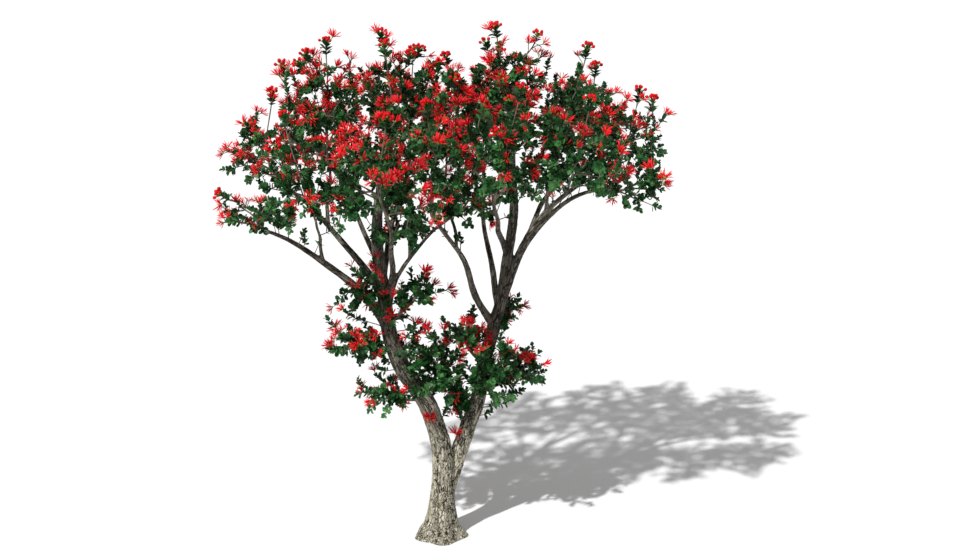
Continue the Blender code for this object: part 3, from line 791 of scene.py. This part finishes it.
def mainTips(mass):
    spin = random.Random(mass.name).random()
    centre = Vector(mass.centre)
    tips = []
    for k in range(mass.shoots):
        rise = twig["shootRise"] - twig["shootFall"] * k
        outward = toward(mass.lean + twig["shootTurn"] * k, rise)
        reach = twig["shootReach"] - twig["shootStep"] * k
        tips.append(centre + scaled(outward, mass.half) * reach)
    rest = mass.tips - mass.shoots
    for k in range(rest):
        height = twig["tipTop"] - twig["tipSpan"] * (k + 0.5) / rest
        outward = outwardAt(height, goldenTurn * k + math.tau * spin)
        tips.append(centre + scaled(outward, mass.half) * twig["shell"])
    return tips


def fineTips(mass, stem, rng):
    # Each as how deep it ends, where 1 is the mass's outside, how high, and where
    rule, both = fineRules[mass.kind], fineRules["both"]
    centre = Vector(mass.centre)
    half = [h * twig["shell"] + rule["reach"] for h in mass.half]
    across = sum(mass.half) / 3
    count = round(mass.fill * rule["perArea"] * 4 * math.pi * across ** 2)

    def drift(outward, key):
        scale, seed = both[key]
        return noise.noise(outward * scale + centre * seed)

    tips = []
    for k in range(count):
        height = both["top"] - rule["span"] * (k + 0.5) / count
        stray = rng.uniform(-both["stray"], both["stray"])
        outward = Vector(outwardAt(height, goldenTurn * k + stray))
        if drift(outward, "gapNoise") < rule["gaps"]:
            continue
        depth = 1 - rule["depth"] * rng.random() ** both["outward"]
        wander = 1 + rule["uneven"] * drift(outward, "wanderNoise")
        if height > both["spireHeight"] and rng.random() < rule["spires"]:
            depth, wander = rng.uniform(*both["spireDepths"]), 1
        tips.append((depth, height, centre + scaled(outward, half) * depth * wander))
    gone = [(b - a).length for a, b in zip(stem, stem[1:])]
    for _ in range(round(rule["collar"] * sum(gone))):
        i = rng.choices(range(len(gone)), gone)[0]
        side = toward(rng.uniform(0, 360), rng.uniform(*both["collarRises"]))
        side *= rng.uniform(*both["collarLengths"])
        tips.append((both["collarDepth"], 0, stem[i].lerp(stem[i + 1], rng.random()) + side))
    return sorted(tips, key=lambda tip: tip[0])


def growMass(mass, lines, wood):
    # The main twigs as the solids have them, then fine ones, each from where it costs least. The
    # ends are told as their run's number, how deep they lie and how high.
    line, heart = lines[mass.limb], Vector(mass.centre)
    root, outward, rootRadius = alongLimb(line, mass.along)
    if mass.along == 1:
        outward = line["endWay"]
        root -= outward * twig["rootSunk"]
    else:
        outward = (heart - root).normalized()
        rootRadius = twig["sproutRadius"]
    space = Space(mass, wood)
    rng = random.Random(mass.name + " fine")
    twigs = Twigs(root, outward, heart)
    stem = twigs.curve(0, heart, twig["upturn"])
    twigs.add(0, stem)
    wanted = [(2, 1, tip) if k < mass.shoots else (1, 0.5, tip) for k, tip in enumerate(mainTips(mass))]
    wanted += fineTips(mass, [root] + stem, rng)
    least = twig["lowUpturn"]
    ends = []
    for depth, height, tip in wanted:
        if not space.holds(np.array([tip]))[0]:
            continue
        share = max(0, min(1, height - twig["upturnFrom"]))
        upturn = twig["upturn"] * (least + (1 - least) * share)
        for start in twigs.cheapest(tip):
            curve = twigs.curve(int(start), tip, upturn)
            if space.clear(np.array(curve), twig["limbMargin"]).all():
                twigs.add(start, curve)
                ends.append((len(twigs.runs) - 1, depth, height))
                break
    return twigs, twigs.radii(rootRadius), space, ends


# Spurs: short leafy twigs straight from the limbs, by rule along the boughs under the crown, and one by one
# where a stem carries leaves or blossom of its own. `heads` of them are at its tip.

spurs = {
    "stretch": (0.66, 0.98),  # of each bough
    "perMetre": 18,
    "rises": (25, 80),
    "lengths": (0.05, 0.16),
    "bloom": 0.22,
    "steps": 6,
    "upturn": 0.7,
    "sunk": 0.7,  # the share of the limb's radius where it starts
    "radius": 0.0034,
    "margin": 0.003,
    "leafy": (0.03, 0.065),
    "erect": 60,  # a listed spur that rises more than this is leafy nearly all along
    "erectLeafy": 0.9,
    "lowLeafy": 0.65,
    "bare": 0.002,
    "bareUnderHead": 0.6,  # of the stalk
    "headTurn": 35,  # degrees that each more head leans off
    "pairGap": 0.0125,
}
Spur = namedtuple("Spur", "limb along heading rise length heads")
spurRows = {
    "left_stem": (
        (0.27, 262, 12, 0.035, 3), (0.18, 345, 70, 0.20, 0), (0.40, 330, 74, 0.16, 0),
        (0.52, 300, 40, 0.07, 0), (0.55, 320, 30, 0.05, 1), (0.72, 285, 35, 0.07, 0),
        (0.80, 310, 20, 0.08, 0), (0.88, 215, 25, 0.07, 0), (0.90, 335, 52, 0.14, 1),
        (0.93, 270, 30, 0.06, 0), (0.70, 200, 20, 0.08, 0), (0.80, 190, 10, 0.10, 0),
        (0.90, 205, 30, 0.09, 0), (0.97, 350, 48, 0.20, 1), (0.99, 10, 60, 0.17, 1),
    ),
    "left_leader": (
        (0.08, 345, 22, 0.15, 1), (0.12, 190, 28, 0.27, 1), (0.26, 330, 38, 0.34, 2),
        (0.10, 285, 45, 0.08, 0), (0.17, 250, 35, 0.09, 0), (0.20, 275, 55, 0.10, 0),
        (0.24, 268, 50, 0.09, 1), (0.27, 300, 40, 0.08, 0),
    ),
    "right_stem": (
        (0.0, 228, 35, 0.035, 3), (0.08, 205, 78, 0.24, 0), (0.16, 240, 80, 0.20, 0),
        (0.20, 340, 32, 0.10, 0), (0.22, 180, 74, 0.22, 0), (0.27, 350, 25, 0.12, 0),
        (0.30, 190, 60, 0.14, 0), (0.30, 345, 15, 0.18, 0), (0.38, 350, 12, 0.26, 0),
        (0.40, 175, 62, 0.15, 0), (0.50, 185, 62, 0.12, 0), (0.66, 285, 45, 0.08, 0),
        (0.78, 280, 30, 0.07, 1), (0.84, 265, 40, 0.07, 1), (0.90, 350, 40, 0.07, 0),
    ),
    "right_leader": (
        (0.70, 330, 61, 0.26, 0), (0.74, 350, 62, 0.24, 0), (0.82, 20, 61, 0.22, 1),
        (0.86, 340, 40, 0.20, 0),
    ),
    "right_riser": (
        (0.30, 190, 61, 0.18, 0), (0.50, 170, 62, 0.14, 1),
    ),
}
stemSpurs = [Spur(limb, *row) for limb, rows in spurRows.items() for row in rows]


def boughSpurs(lines):
    made = []
    low, high = spurs["stretch"]
    for limb in boughs:
        rng = random.Random(limb.name + " spurs")
        long = measured(lines[limb.name]["points"])[0].sum()
        count = round(spurs["perMetre"] * long * (high - low))
        for k in range(count):
            along = low + (high - low) * (k + rng.random()) / count
            rise, length = rng.uniform(*spurs["rises"]), rng.uniform(*spurs["lengths"])
            heads = 1 if rng.random() < spurs["bloom"] else 0
            made.append(Spur(limb.name, along, rng.uniform(0, 360), rise, length, heads))
    return made


def growSpurs(lines, wood, leaves, flowers, twigLines):
    for number, spur in enumerate(stemSpurs + boughSpurs(lines)):
        rng = random.Random(number)
        middle, way, radius = alongLimb(lines[spur.limb], spur.along)
        ahead = toward(spur.heading, spur.rise)
        out = (ahead - way * ahead.dot(way)).normalized() * radius
        start = middle + out * spurs["sunk"]
        tip = middle + out + ahead * spur.length
        arrive = (ahead + up * spurs["upturn"]).normalized()
        steps = spurs["steps"]
        line = [bend(start, ahead, arrive, tip, k / steps) for k in range(steps + 1)]
        if not wood.clear(np.array(line[steps // 2:]), spurs["margin"]).all():
            continue
        thin = twig["tipRadius"]
        thick = [spurs["radius"] + (thin - spurs["radius"]) * k / steps for k in range(steps + 1)]
        twigLines.append((line, thick))
        bare = spurs["bare"]
        if spur.heads:
            bare = rng.uniform(*flower["stalk"]) * spurs["bareUnderHead"]
        for k in range(spur.heads):
            turned = leaning(arrive, spurs["headTurn"] * k, rng.uniform(0, math.tau))
            flowers.addHead(tip, turned, rng, rng.uniform(*flower["sizes"]))
        leafy = rng.uniform(*spurs["leafy"])
        if number < len(stemSpurs):
            leafy = spur.length * spurs["erectLeafy" if spur.rise > spurs["erect"] else "lowLeafy"]
        leaves.addShoot(line, wood, rng, leafy, bare, spurs["pairGap"])


# Leaves, in pairs along the ends of the twigs, each pair turned a quarter from the last

leaf = {
    "length": 0.041,
    "width": 0.74,  # for its length
    "grid": (2, 4),
    "broadest": 1.25,  # more than 1 moves its broadest part to the tip
    "blunt": 0.62,  # less is blunter
    "fold": 0.30,  # how far the halves rise from the midrib
    "curls": (-0.10, -0.22, -0.02, 0.08),
    "sizes": (0.78, 1.14),
    "lean": 0.50,  # along the twig, against 1 straight out
    "lift": 0.22,
    "faceUp": 0.8,  # how it faces, up and away from the twig
    "faceOut": (-0.3, 0.1),
    "reach": 0.96,  # the share of a line that may carry leaves
    "tip": 0.03,  # the stretch at a tip where leaves gather, and how they change there
    "tipOut": 0.35,
    "tipLean": 0.6,
    "tipSmaller": 0.25,
    "stray": 0.3,  # of its way, its turn round the twig and its pair's, and the pairs' gaps
    "turnStray": 0.5,
    "pairStray": 0.2,
    "gapShares": (0.6, 1.4),
    "margin": 0.002,
    "roughness": 0.42,
    "clouds": (16, 2, 0.35, 0.65),  # scale, detail, and from where to where in the noise
    "rib": (0.07, 0.02),  # from and to its edge, for the leaf's width
    "ribShare": 0.5,
    "ribTint": (1.7, 0.004),
    "bump": 0.25,
    # dealt out at random by shoot: leaf green darkened as painted shade, plain leaf green, and young green
    # lightened as painted sunlight
    "tints": (
        ("leavesDeep", (0.003, 0.030, 0.004), (0.009, 0.060, 0.011)),
        ("leavesMid", (0.008, 0.054, 0.011), (0.019, 0.098, 0.024)),
        ("leavesFresh", (0.020, 0.094, 0.021), (0.058, 0.190, 0.052)),
    ),
}


def mapOut(mesh, name, placeOf):
    # Each corner's place on the map, by a rule of its point
    layer = mesh.loops.layers.uv.new(name)
    for face in mesh.faces:
        for loop in face.loops:
            loop[layer].uv = placeOf(loop.vert.co)


def leafShape(curl):
    mesh = bmesh.new()
    across, along = leaf["grid"]
    bmesh.ops.create_grid(mesh, x_segments=across, y_segments=along, size=0.5)
    mapOut(mesh, "leafMap", lambda co: (co.x + 0.5, co.y + 0.5))
    for vert in mesh.verts:
        t = vert.co.y + 0.5
        wide = math.sin(math.pi * t ** leaf["broadest"]) ** leaf["blunt"] if 0 < t < 1 else 0
        x = vert.co.x * leaf["width"] * wide
        vert.co = (x, t, abs(x) * leaf["fold"] + curl * t * t)
    bmesh.ops.remove_doubles(mesh, verts=mesh.verts[:], dist=1e-4)
    return mesh


def stamp(mesh):
    # A small mesh as arrays, to be copied many times
    mesh.verts.index_update()
    layer = mesh.loops.layers.uv.active
    loops = [loop for face in mesh.faces for loop in face.loops]
    made = {
        "points": np.array([vert.co for vert in mesh.verts]),
        "corners": np.array([loop.vert.index for loop in loops]),
        "sizes": np.array([len(face.verts) for face in mesh.faces]),
        "marks": np.array([tuple(loop[layer].uv) for loop in loops]),
    }
    mesh.free()
    return made


def framesFor(ways, faces):
    # Frames whose Y runs along `ways` and whose Z leans to `faces`
    y = ways / np.linalg.norm(ways, axis=1)[:, None]
    x = np.cross(y, faces)
    x /= np.linalg.norm(x, axis=1)[:, None] + 1e-9
    z = np.cross(x, y)
    return np.stack((x, y, z), axis=2)


def scatter(name, groups, mapName):
    # Copies of stamps: each group is a stamp and, for each copy, a root, way, face and size
    points, corners, sizes, marks = [], [], [], []
    base = 0
    for piece, roots, ways, faces, scales in groups:
        frames = framesFor(ways, faces)
        placed = np.einsum("nij,vj->nvi", frames, piece["points"]) * scales[:, None, None] + roots[:, None]
        count, each = placed.shape[:2]
        points.append(placed.reshape(-1, 3))
        corners.append((piece["corners"][None] + (base + np.arange(count) * each)[:, None]).ravel())
        sizes.append(np.tile(piece["sizes"], count))
        marks.append(np.tile(piece["marks"], (count, 1)))
        base += count * each
    points, corners, sizes, marks = map(np.concatenate, (points, corners, sizes, marks))
    data = bpy.data.meshes.new(name)
    data.vertices.add(len(points))
    data.vertices.foreach_set("co", points.astype(np.float32).ravel())
    data.loops.add(len(corners))
    data.loops.foreach_set("vertex_index", corners.astype(np.int32))
    data.polygons.add(len(sizes))
    data.polygons.foreach_set("loop_start", (np.cumsum(sizes) - sizes).astype(np.int32))
    data.update(calc_edges=True)
    data.uv_layers.new(name=mapName).data.foreach_set("uv", marks.astype(np.float32).ravel())
    data.shade_smooth()
    return link(name, data)


class Leaves:
    # Leaves still to be made, shoot by shoot: their roots, ways, faces and sizes, and the shoot's tint
    def __init__(self):
        self.shoots = []

    def addShoot(self, line, space, rng, leafy, bare, gap, lean=leaf["lean"], size=1):
        # Pairs `gap` apart, from `bare` behind the tip to `leafy` behind it
        points = np.array(line)
        steps, gone = measured(points)
        # one of the three tints at random, of which two are painted shade and painted sunlight
        tint = rng.randrange(len(leaf["tints"]))
        turn = rng.uniform(0, math.tau)
        back = bare
        stray = leaf["stray"]
        rows = []
        while back < min(leafy, gone[-1] * leaf["reach"]):
            at = gone[-1] - back
            i = min(int(np.searchsorted(gone, at, side="right")) - 1, len(steps) - 1)
            share = (at - gone[i]) / steps[i]
            root = Vector(points[i]).lerp(Vector(points[i + 1]), share)
            way = Vector(points[i + 1] - points[i]).normalized()
            across = way.orthogonal().normalized()
            other = way.cross(across)
            tipness = max(0, 1 - (back - bare) / leaf["tip"])
            for side in (0, math.pi):
                angle = turn + side + rng.uniform(-leaf["turnStray"], leaf["turnStray"])
                out = across * math.cos(angle) + other * math.sin(angle)
                along = out * (1 - leaf["tipOut"] * tipness) + way * (lean + leaf["tipLean"] * tipness)
                along += up * leaf["lift"]
                along += Vector(rng.uniform(-stray, stray) for _ in range(3))
                face = way + up * leaf["faceUp"] + out * rng.uniform(*leaf["faceOut"])
                long = leaf["length"] * size * rng.uniform(*leaf["sizes"])
                rows.append((root, along, face, long * (1 - leaf["tipSmaller"] * tipness)))
            turn += math.pi / 2 + rng.uniform(-leaf["pairStray"], leaf["pairStray"])
            back += gap * rng.uniform(*leaf["gapShares"])
        if not rows:
            return
        roots, ways, faces, sizes = map(np.array, zip(*rows))
        long = ways / np.linalg.norm(ways, axis=1)[:, None] * sizes[:, None]
        good = space.clear(roots + long, leaf["margin"])
        good &= space.clear(roots + long * 0.5, leaf["margin"])
        self.shoots.append([part[good] for part in (roots, ways, faces, sizes, np.full(len(rows), tint))])


def leafMaterial(name, dark, bright):
    paint = Paint(name, leaf["roughness"])
    blade, cloud = paint.clouds(dark, bright, *leaf["clouds"])
    away = paint.sum(paint.sum(paint.onMap("X"), 0.5, "SUBTRACT"), 0, "ABSOLUTE")
    rib = paint.times(paint.spread(away, *leaf["rib"]), leaf["ribShare"])
    factor, more = leaf["ribTint"]
    ribTint = tuple(min(1, c * factor + more) for c in bright)
    return paint.close(paint.mix(rib, blade, ribTint), cloud, leaf["bump"])


def makeLeaves(leaves):
    roots, ways, faces, sizes, tints = map(np.concatenate, zip(*leaves.shoots))
    stamps = [stamp(leafShape(curl)) for curl in leaf["curls"]]
    kind = np.arange(len(roots)) % len(stamps)
    made = []
    # a piece for each tint, two of them painted shade and painted sunlight
    for number, (name, dark, bright) in enumerate(leaf["tints"]):
        groups = []
        for k, piece in enumerate(stamps):
            chosen = (tints == number) & (kind == k)
            groups.append((piece, roots[chosen], ways[chosen], faces[chosen], sizes[chosen]))
        made.append((scatter(name, groups, "leafMap"), leafMaterial(name, dark, bright)))
    print("leaves:", len(roots))
    return made


# Blossoms: heads of a few florets, each a fan of red blades and fine hairs out of a yellow-green
# cup, and rings of round buds on the tall shoots

flower = {
    "florets": (2, 2, 3, 3),
    "floretTurn": 0.3,  # radians either way
    "floretLean": (22, 50),  # degrees from the head's axis
    "cupLength": 0.014,
    "cupWidth": 0.0055,
    "cupRings": ((0, 0.4), (1, 1)),
    "cupShare": 0.6,  # how far up the cup the blades start
    "sides": 3,  # of blades, hairs, cups and stalks
    "blades": (4, 6),
    "fan": 40,  # degrees from a floret's axis to its outermost blades
    "fanFrom": 0.3,  # how far out the innermost stands, where 1 is a blade's step
    "bladeLength": 0.057,
    "bladeLengths": (0.78, 1.12),
    "bladeWidth": 0.0046,  # half the width at the broadest
    "bladeFlat": 0.5,
    "bladeRings": ((0, 0.5), (0.68, 1), (1, 0)),
    "bladeCurls": (0.05, 0.13, -0.05),
    "hairs": 3,  # for each floret
    "hairFans": (0.3, 1.1),
    "hairLength": 0.070,
    "hairLengths": (0.8, 1.15),
    "hairWidth": 0.0008,
    "hairRings": ((0, 1), (1, 0)),
    "sizes": (0.80, 1.14),
    # the share of heads in the lit red; the rest take the red darkened as painted shade
    "litShare": 0.56,
    "stalk": (0.012, 0.045),  # bare twig under a head
    "room": 0.066,  # between one head and the next
    "buds": 6,  # in the ring, and then one or two within it
    "budTurn": 0.2,
    "budLeans": (30, 56),
    "innerLeans": (12, 24),  # where there is one within, and where there are two
    "budLeanShares": (0.88, 1.1),
    "budUp": 0.1,
    "budRadius": 0.0112,
    "budRadii": (0.86, 1.08),
    "budSunk": 0.8,  # of its radius, from its stalk's end to its middle
    "budRounds": 2,
    "budStretch": 1.1,
    "budStalk": 0.035,
    "budStalks": (0.88, 1.15),
    "budStalkWidth": 0.0046,
    "stalkRings": ((0, 0.7), (1, 1)),
    # the blossoms' lit red, then the same red darkened as painted shade for some heads
    "red": (1.0, 0.009, 0.017),
    "shadedRed": (0.55, 0.004, 0.011),
    "budRed": (0.52, 0.005, 0.007),
    "bladeFoot": (0.55, 0.12, 0.02),
    "budFoot": (0.40, 0.30, 0.04),
    "hearts": ((0.16, 0.24, 0.03), (0.34, 0.36, 0.05)),
    "heartClouds": (90, 2, 0.38, 0.62),
    "heartBump": 0.4,
    "clouds": (60, 2, 0.4, 0.62),
    "pale": (1.25, 0.006),  # a red's second tint: times this, and more
    # painted highlight: the blades turn lighter and pinker towards their tips, where the light catches them
    "tipHighlight": (1.15, 0.05, 0.055),
    "highlightFrom": (0.55, 1.0),  # along the blade
    "footFrom": (0.02, 0.14),
    "roughness": 0.50,
    "specular": 0.1,
    "heartSpecular": 0.5,
    "bump": 0.3,
}


def spike(rings, width, flat=1, curl=0):
    # A closed prism up +Y, a unit long, cut into rings of (height, width for its broadest)
    heights, widths = zip(*rings)
    mesh = bmesh.new()
    bmesh.ops.create_cone(mesh, cap_ends=True, segments=flower["sides"], radius1=1, radius2=1, depth=1)
    for height in heights[1:-1]:
        geometry = mesh.verts[:] + mesh.edges[:] + mesh.faces[:]
        place = (0, 0, height - 0.5)
        bmesh.ops.bisect_plane(mesh, geom=geometry, dist=1e-5, plane_co=place, plane_no=(0, 0, 1))
    mapOut(mesh, "bladeMap", lambda co: (0.5 + 0.4 * co.x, co.z + 0.5))
    for vert in mesh.verts:
        t = vert.co.z + 0.5
        radius = width * float(np.interp(t, heights, widths))
        vert.co = (vert.co.x * radius, t, vert.co.y * radius * flat + curl * t * t)
    bmesh.ops.remove_doubles(mesh, verts=mesh.verts[:], dist=1e-5)
    bmesh.ops.recalc_face_normals(mesh, faces=mesh.faces[:])
    return mesh


def ball(rounds, stretch):
    mesh = bmesh.new()
    bmesh.ops.create_icosphere(mesh, subdivisions=rounds, radius=1)
    bmesh.ops.scale(mesh, vec=(1, stretch, 1), verts=mesh.verts[:])
    mapOut(mesh, "bladeMap", lambda co: (0.5, 0.5 + 0.5 * co.y / stretch))
    return mesh


def leaning(axis, degrees, turn):
    # A way that leans off an axis, round it by `turn`
    across = axis.orthogonal().normalized()
    out = across * math.cos(turn) + axis.cross(across) * math.sin(turn)
    return axis * math.cos(math.radians(degrees)) + out * math.sin(math.radians(degrees))


class Flowers:
    # Blades and hairs in the lit red and in the red darkened as painted shade, cups, stalks and buds still
    # to be made, each (root, way, face, size)
    def __init__(self):
        self.blades, self.hairs, self.cups, self.stalks, self.buds = ([], []), ([], []), [], [], []
        self.places = []

    def hasRoom(self, place):
        return all((place - other).length > flower["room"] for other in self.places)

    def addHead(self, root, axis, rng, size):
        # each head takes the lit red, or at random the red darkened as painted shade
        tint = 0 if rng.random() < flower["litShare"] else 1
        florets = rng.choice(flower["florets"])
        spin = rng.uniform(0, math.tau)
        stray, fan = flower["floretTurn"], flower["fan"]
        self.places.append(root)
        for k in range(florets):
            turn = spin + math.tau * k / florets + rng.uniform(-stray, stray)
            floret = leaning(axis, rng.uniform(*flower["floretLean"]), turn)
            self.cups.append((root, floret, axis, flower["cupLength"] * size))
            start = root + floret * flower["cupLength"] * size * flower["cupShare"]
            count = rng.randint(*flower["blades"])
            for n in range(count):
                out = math.sqrt((n + flower["fanFrom"]) / count)
                way = leaning(floret, fan * out, turn + goldenTurn * n)
                long = flower["bladeLength"] * size * rng.uniform(*flower["bladeLengths"])
                self.blades[tint].append((start, way, floret, long))
            for _ in range(flower["hairs"]):
                way = leaning(floret, fan * rng.uniform(*flower["hairFans"]), rng.uniform(0, math.tau))
                long = flower["hairLength"] * size * rng.uniform(*flower["hairLengths"])
                self.hairs[tint].append((start, way, floret, long))

    def addBuds(self, root, axis, rng):
        spin = rng.uniform(0, math.tau)
        ring, stray = flower["buds"], flower["budTurn"]
        inner = rng.choice((1, 2))
        face = axis + up * flower["budUp"]
        for k in range(ring + inner):
            if k < ring:
                turn = spin + math.tau * k / ring + rng.uniform(-stray, stray)
                lean = flower["budLeans"][k % 2]
            else:
                turn, lean = spin + math.pi * k, flower["innerLeans"][inner - 1]
            way = leaning(axis, lean * rng.uniform(*flower["budLeanShares"]), turn)
            stalk = flower["budStalk"] * rng.uniform(*flower["budStalks"])
            radius = flower["budRadius"] * rng.uniform(*flower["budRadii"])
            self.stalks.append((root, way, face, stalk))
            self.buds.append((root + way * (stalk + radius * flower["budSunk"]), way, face, radius))


# `tip` is a painted highlight towards the blades' tips; the buds pass their own red for it, so none shows on
# them
def petalMaterial(name, colour, foot, tip):
    paint = Paint(name, flower["roughness"], flower["specular"])
    along = paint.onMap("Y")
    factor, more = flower["pale"]
    pale = tuple(min(1, c * factor + more) for c in colour)
    body, cloud = paint.clouds(colour, pale, *flower["clouds"])
    # painted highlight towards each blade's tip
    body = paint.mix(paint.spread(along, *flower["highlightFrom"]), body, tip)
    body = paint.mix(paint.spread(along, *flower["footFrom"]), foot, body)
    return paint.close(body, cloud, flower["bump"])


def heartMaterial():
    paint = Paint("flowerHeart", flower["roughness"], flower["heartSpecular"])
    return paint.close(*paint.clouds(*flower["hearts"], *flower["heartClouds"]), flower["heartBump"])


def makeFlowers(flowers):
    def groupOf(shape, rows):
        return stamp(shape), *map(np.array, zip(*rows))

    def slim(kind):
        return flower[kind + "Width"] / flower[kind + "Length"]

    curls = flower["bladeCurls"]
    factor, *more = flower["tipHighlight"]
    made = []
    # blossoms in the lit red, and in the red darkened as painted shade
    for name, colour, blades, hairs in zip(
            ("blossomsBright", "blossomsDeep"), (flower["red"], flower["shadedRed"]),
            flowers.blades, flowers.hairs):
        groups = [groupOf(spike(flower["bladeRings"], slim("blade"), flower["bladeFlat"], curl),
                          blades[k::len(curls)]) for k, curl in enumerate(curls)]
        groups.append(groupOf(spike(flower["hairRings"], slim("hair")), hairs))
        # the painted highlight for this red's blade tips
        tip = (min(1, colour[0] * factor), colour[1] + more[0], colour[2] + more[1])
        made.append((scatter(name, groups, "bladeMap"),
                     petalMaterial(name, colour, flower["bladeFoot"], tip)))
    cup = spike(flower["cupRings"], slim("cup"))
    stalk = spike(flower["stalkRings"], flower["budStalkWidth"] / flower["budStalk"])
    groups = [groupOf(cup, flowers.cups), groupOf(stalk, flowers.stalks)]
    made.append((scatter("flowerHearts", groups, "bladeMap"), heartMaterial()))
    bud = ball(flower["budRounds"], flower["budStretch"])
    buds = scatter("flowerBuds", [groupOf(bud, flowers.buds)], "bladeMap")
    red = flower["budRed"]
    made.append((buds, petalMaterial("budSkin", red, flower["budFoot"], red)))
    print("flower heads:", len(flowers.places), "buds:", len(flowers.buds))
    return made


# The crown: each mass's twigs, with a blossom, buds or leaves at the end of each

crown = {
    "depthBloom": (0.35, 0.9),  # the least share that blooms, and what comes to it further out
    "heightBloom": (0.72, 0.55),
    "heads": (1, 1, 2, 2, 3),  # on a twig that blooms
    "pairBack": 0.022,  # from its tip to a second head's twig, and that twig's length
    "pairLength": 0.045,
    "pairSizes": (0.8, 1),
    "budShare": 0.05,  # of the blossoming twigs near the top, those that end in buds
    "spireBuds": 0.4,  # of the fine spires
    "budHeight": 0.5,
    "budHeads": (0, 1, 1, 2),  # beside the buds
    "sideBacks": (0.04, 0.14),
    "sideLengths": (0.06, 0.10),
    "budLeafy": (0.055, 0.085),
    "budBare": 0.002,
    "budGap": 0.0115,
    "budLean": 0.30,
    "budLeaf": 1.4,  # the size of its leaves
    "bare": 0.004,
    "sideLeans": (36, 54),
    "sideUp": 0.15,
    "sideBend": 0.22,
    "headUp": 0.3,
    "twigRoughness": 0.8,
    "twigTints": ((0.085, 0.068, 0.050), (0.23, 0.195, 0.15)),
    "twigClouds": (22, 3, 0.35, 0.65),
    "twigGrain": (260, 2),
    "twigBump": 0.5,
}


def twigMaterial():
    paint = Paint("twigBark", crown["twigRoughness"])
    colour = paint.clouds(*crown["twigTints"], *crown["twigClouds"])[0]
    grain = paint.noise(paint.add("TexCoord", {}, "Object"), *crown["twigGrain"])
    return paint.close(colour, grain, crown["twigBump"])


def behindTip(line, back):
    # The point and the way of a line at a distance back from its tip
    for a, b in zip(reversed(line[:-1]), reversed(line[1:])):
        step = (b - a).length
        if back <= step:
            return b.lerp(a, back / step), (b - a).normalized()
        back -= step
    return line[0], (line[1] - line[0]).normalized()


def addSideHead(flowers, line, back, length, size, rng):
    # A head on a side twig of its own, which is handed back
    start, way = behindTip(line, back)
    side = leaning(way, rng.uniform(*crown["sideLeans"]), rng.uniform(0, math.tau))
    tip = start + (side + up * crown["sideUp"]).normalized() * length
    flowers.addHead(tip, (side + up * crown["headUp"]).normalized(), rng, size)
    return [start, start + (way + side) * length * crown["sideBend"], tip]


def growCrown(lines, wood):
    leaves, flowers, twigLines = Leaves(), Flowers(), []
    depthBloom, heightBloom = crown["depthBloom"], crown["heightBloom"]
    for mass in masses:
        twigs, radii, space, ends = growMass(mass, lines, wood)
        rule = fineRules[mass.kind]
        rng = random.Random(mass.name + " dressing")
        spires = {number for number, depth, height in ends if depth > 1}
        for number, run in enumerate(twigs.runs):
            least = twig["shootRadius"] if number in spires else 0
            thick = [max(radii[i], least) for i in run]
            if number:
                thick[0] = thick[1]
            twigLines.append(([twigs.points[i] for i in run], thick))
        sides = []
        for number, depth, height in ends:
            line = [twigs.points[i] for i in twigs.runs[number]]
            way = twigs.ways[twigs.runs[number][-1]]
            chance = mass.bloom * (depthBloom[0] + depthBloom[1] * depth ** 2)
            chance *= heightBloom[0] + heightBloom[1] * height
            blooms = rng.random() < chance and flowers.hasRoom(line[-1]) or number in spires
            size = rng.uniform(*flower["sizes"])
            if depth <= 1:
                budding = rng.random() < crown["budShare"]
            else:
                budding = depth == 2 or rng.random() < crown["spireBuds"]
            if blooms and budding and height >= crown["budHeight"]:
                flowers.addBuds(line[-1], way, rng)
                leaves.addShoot(line, space, rng, rng.uniform(*crown["budLeafy"]), crown["budBare"],
                                crown["budGap"], crown["budLean"], crown["budLeaf"])
                for _ in range(rng.choice(crown["budHeads"])):
                    back, length = rng.uniform(*crown["sideBacks"]), rng.uniform(*crown["sideLengths"])
                    sides.append(addSideHead(flowers, line, back, length, size, rng))
                continue
            bare = crown["bare"]
            if blooms:
                bare = rng.uniform(*flower["stalk"])
                flowers.addHead(line[-1], way, rng, size)
                for _ in range(1, rng.choice(crown["heads"])):
                    smaller = size * rng.uniform(*crown["pairSizes"])
                    back, length = crown["pairBack"], crown["pairLength"]
                    sides.append(addSideHead(flowers, line, back, length, smaller, rng))
            leaves.addShoot(line, space, rng, rng.uniform(*rule["leafy"]) + bare, bare, rule["pairGap"])
        twigLines += [(side, [twig["tipRadius"]] * 3) for side in sides]
    growSpurs(lines, wood, leaves, flowers, twigLines)
    print("twigs:", len(twigLines))
    return leaves, flowers, twigLines


def makeCrown(lines, wood):
    leaves, flowers, twigLines = growCrown(lines, wood)
    twigs = tubes("twigs", twigLines, 0)
    twigs.data.shade_smooth()
    dress(twigs, twigMaterial(), "bark", *[mass.name for mass in masses])
    for thing, material in makeLeaves(leaves):
        dress(thing, material, "foliage", *[mass.name for mass in masses])
    for thing, material in makeFlowers(flowers):
        dress(thing, material, "blossom", *[mass.name for mass in masses])


setStage()
lines = limbLines()
makeBark(lines, Wood(lines, limbRule["barkEvery"]))
makeCrown(lines, Wood(lines, limbRule["twigEvery"]))
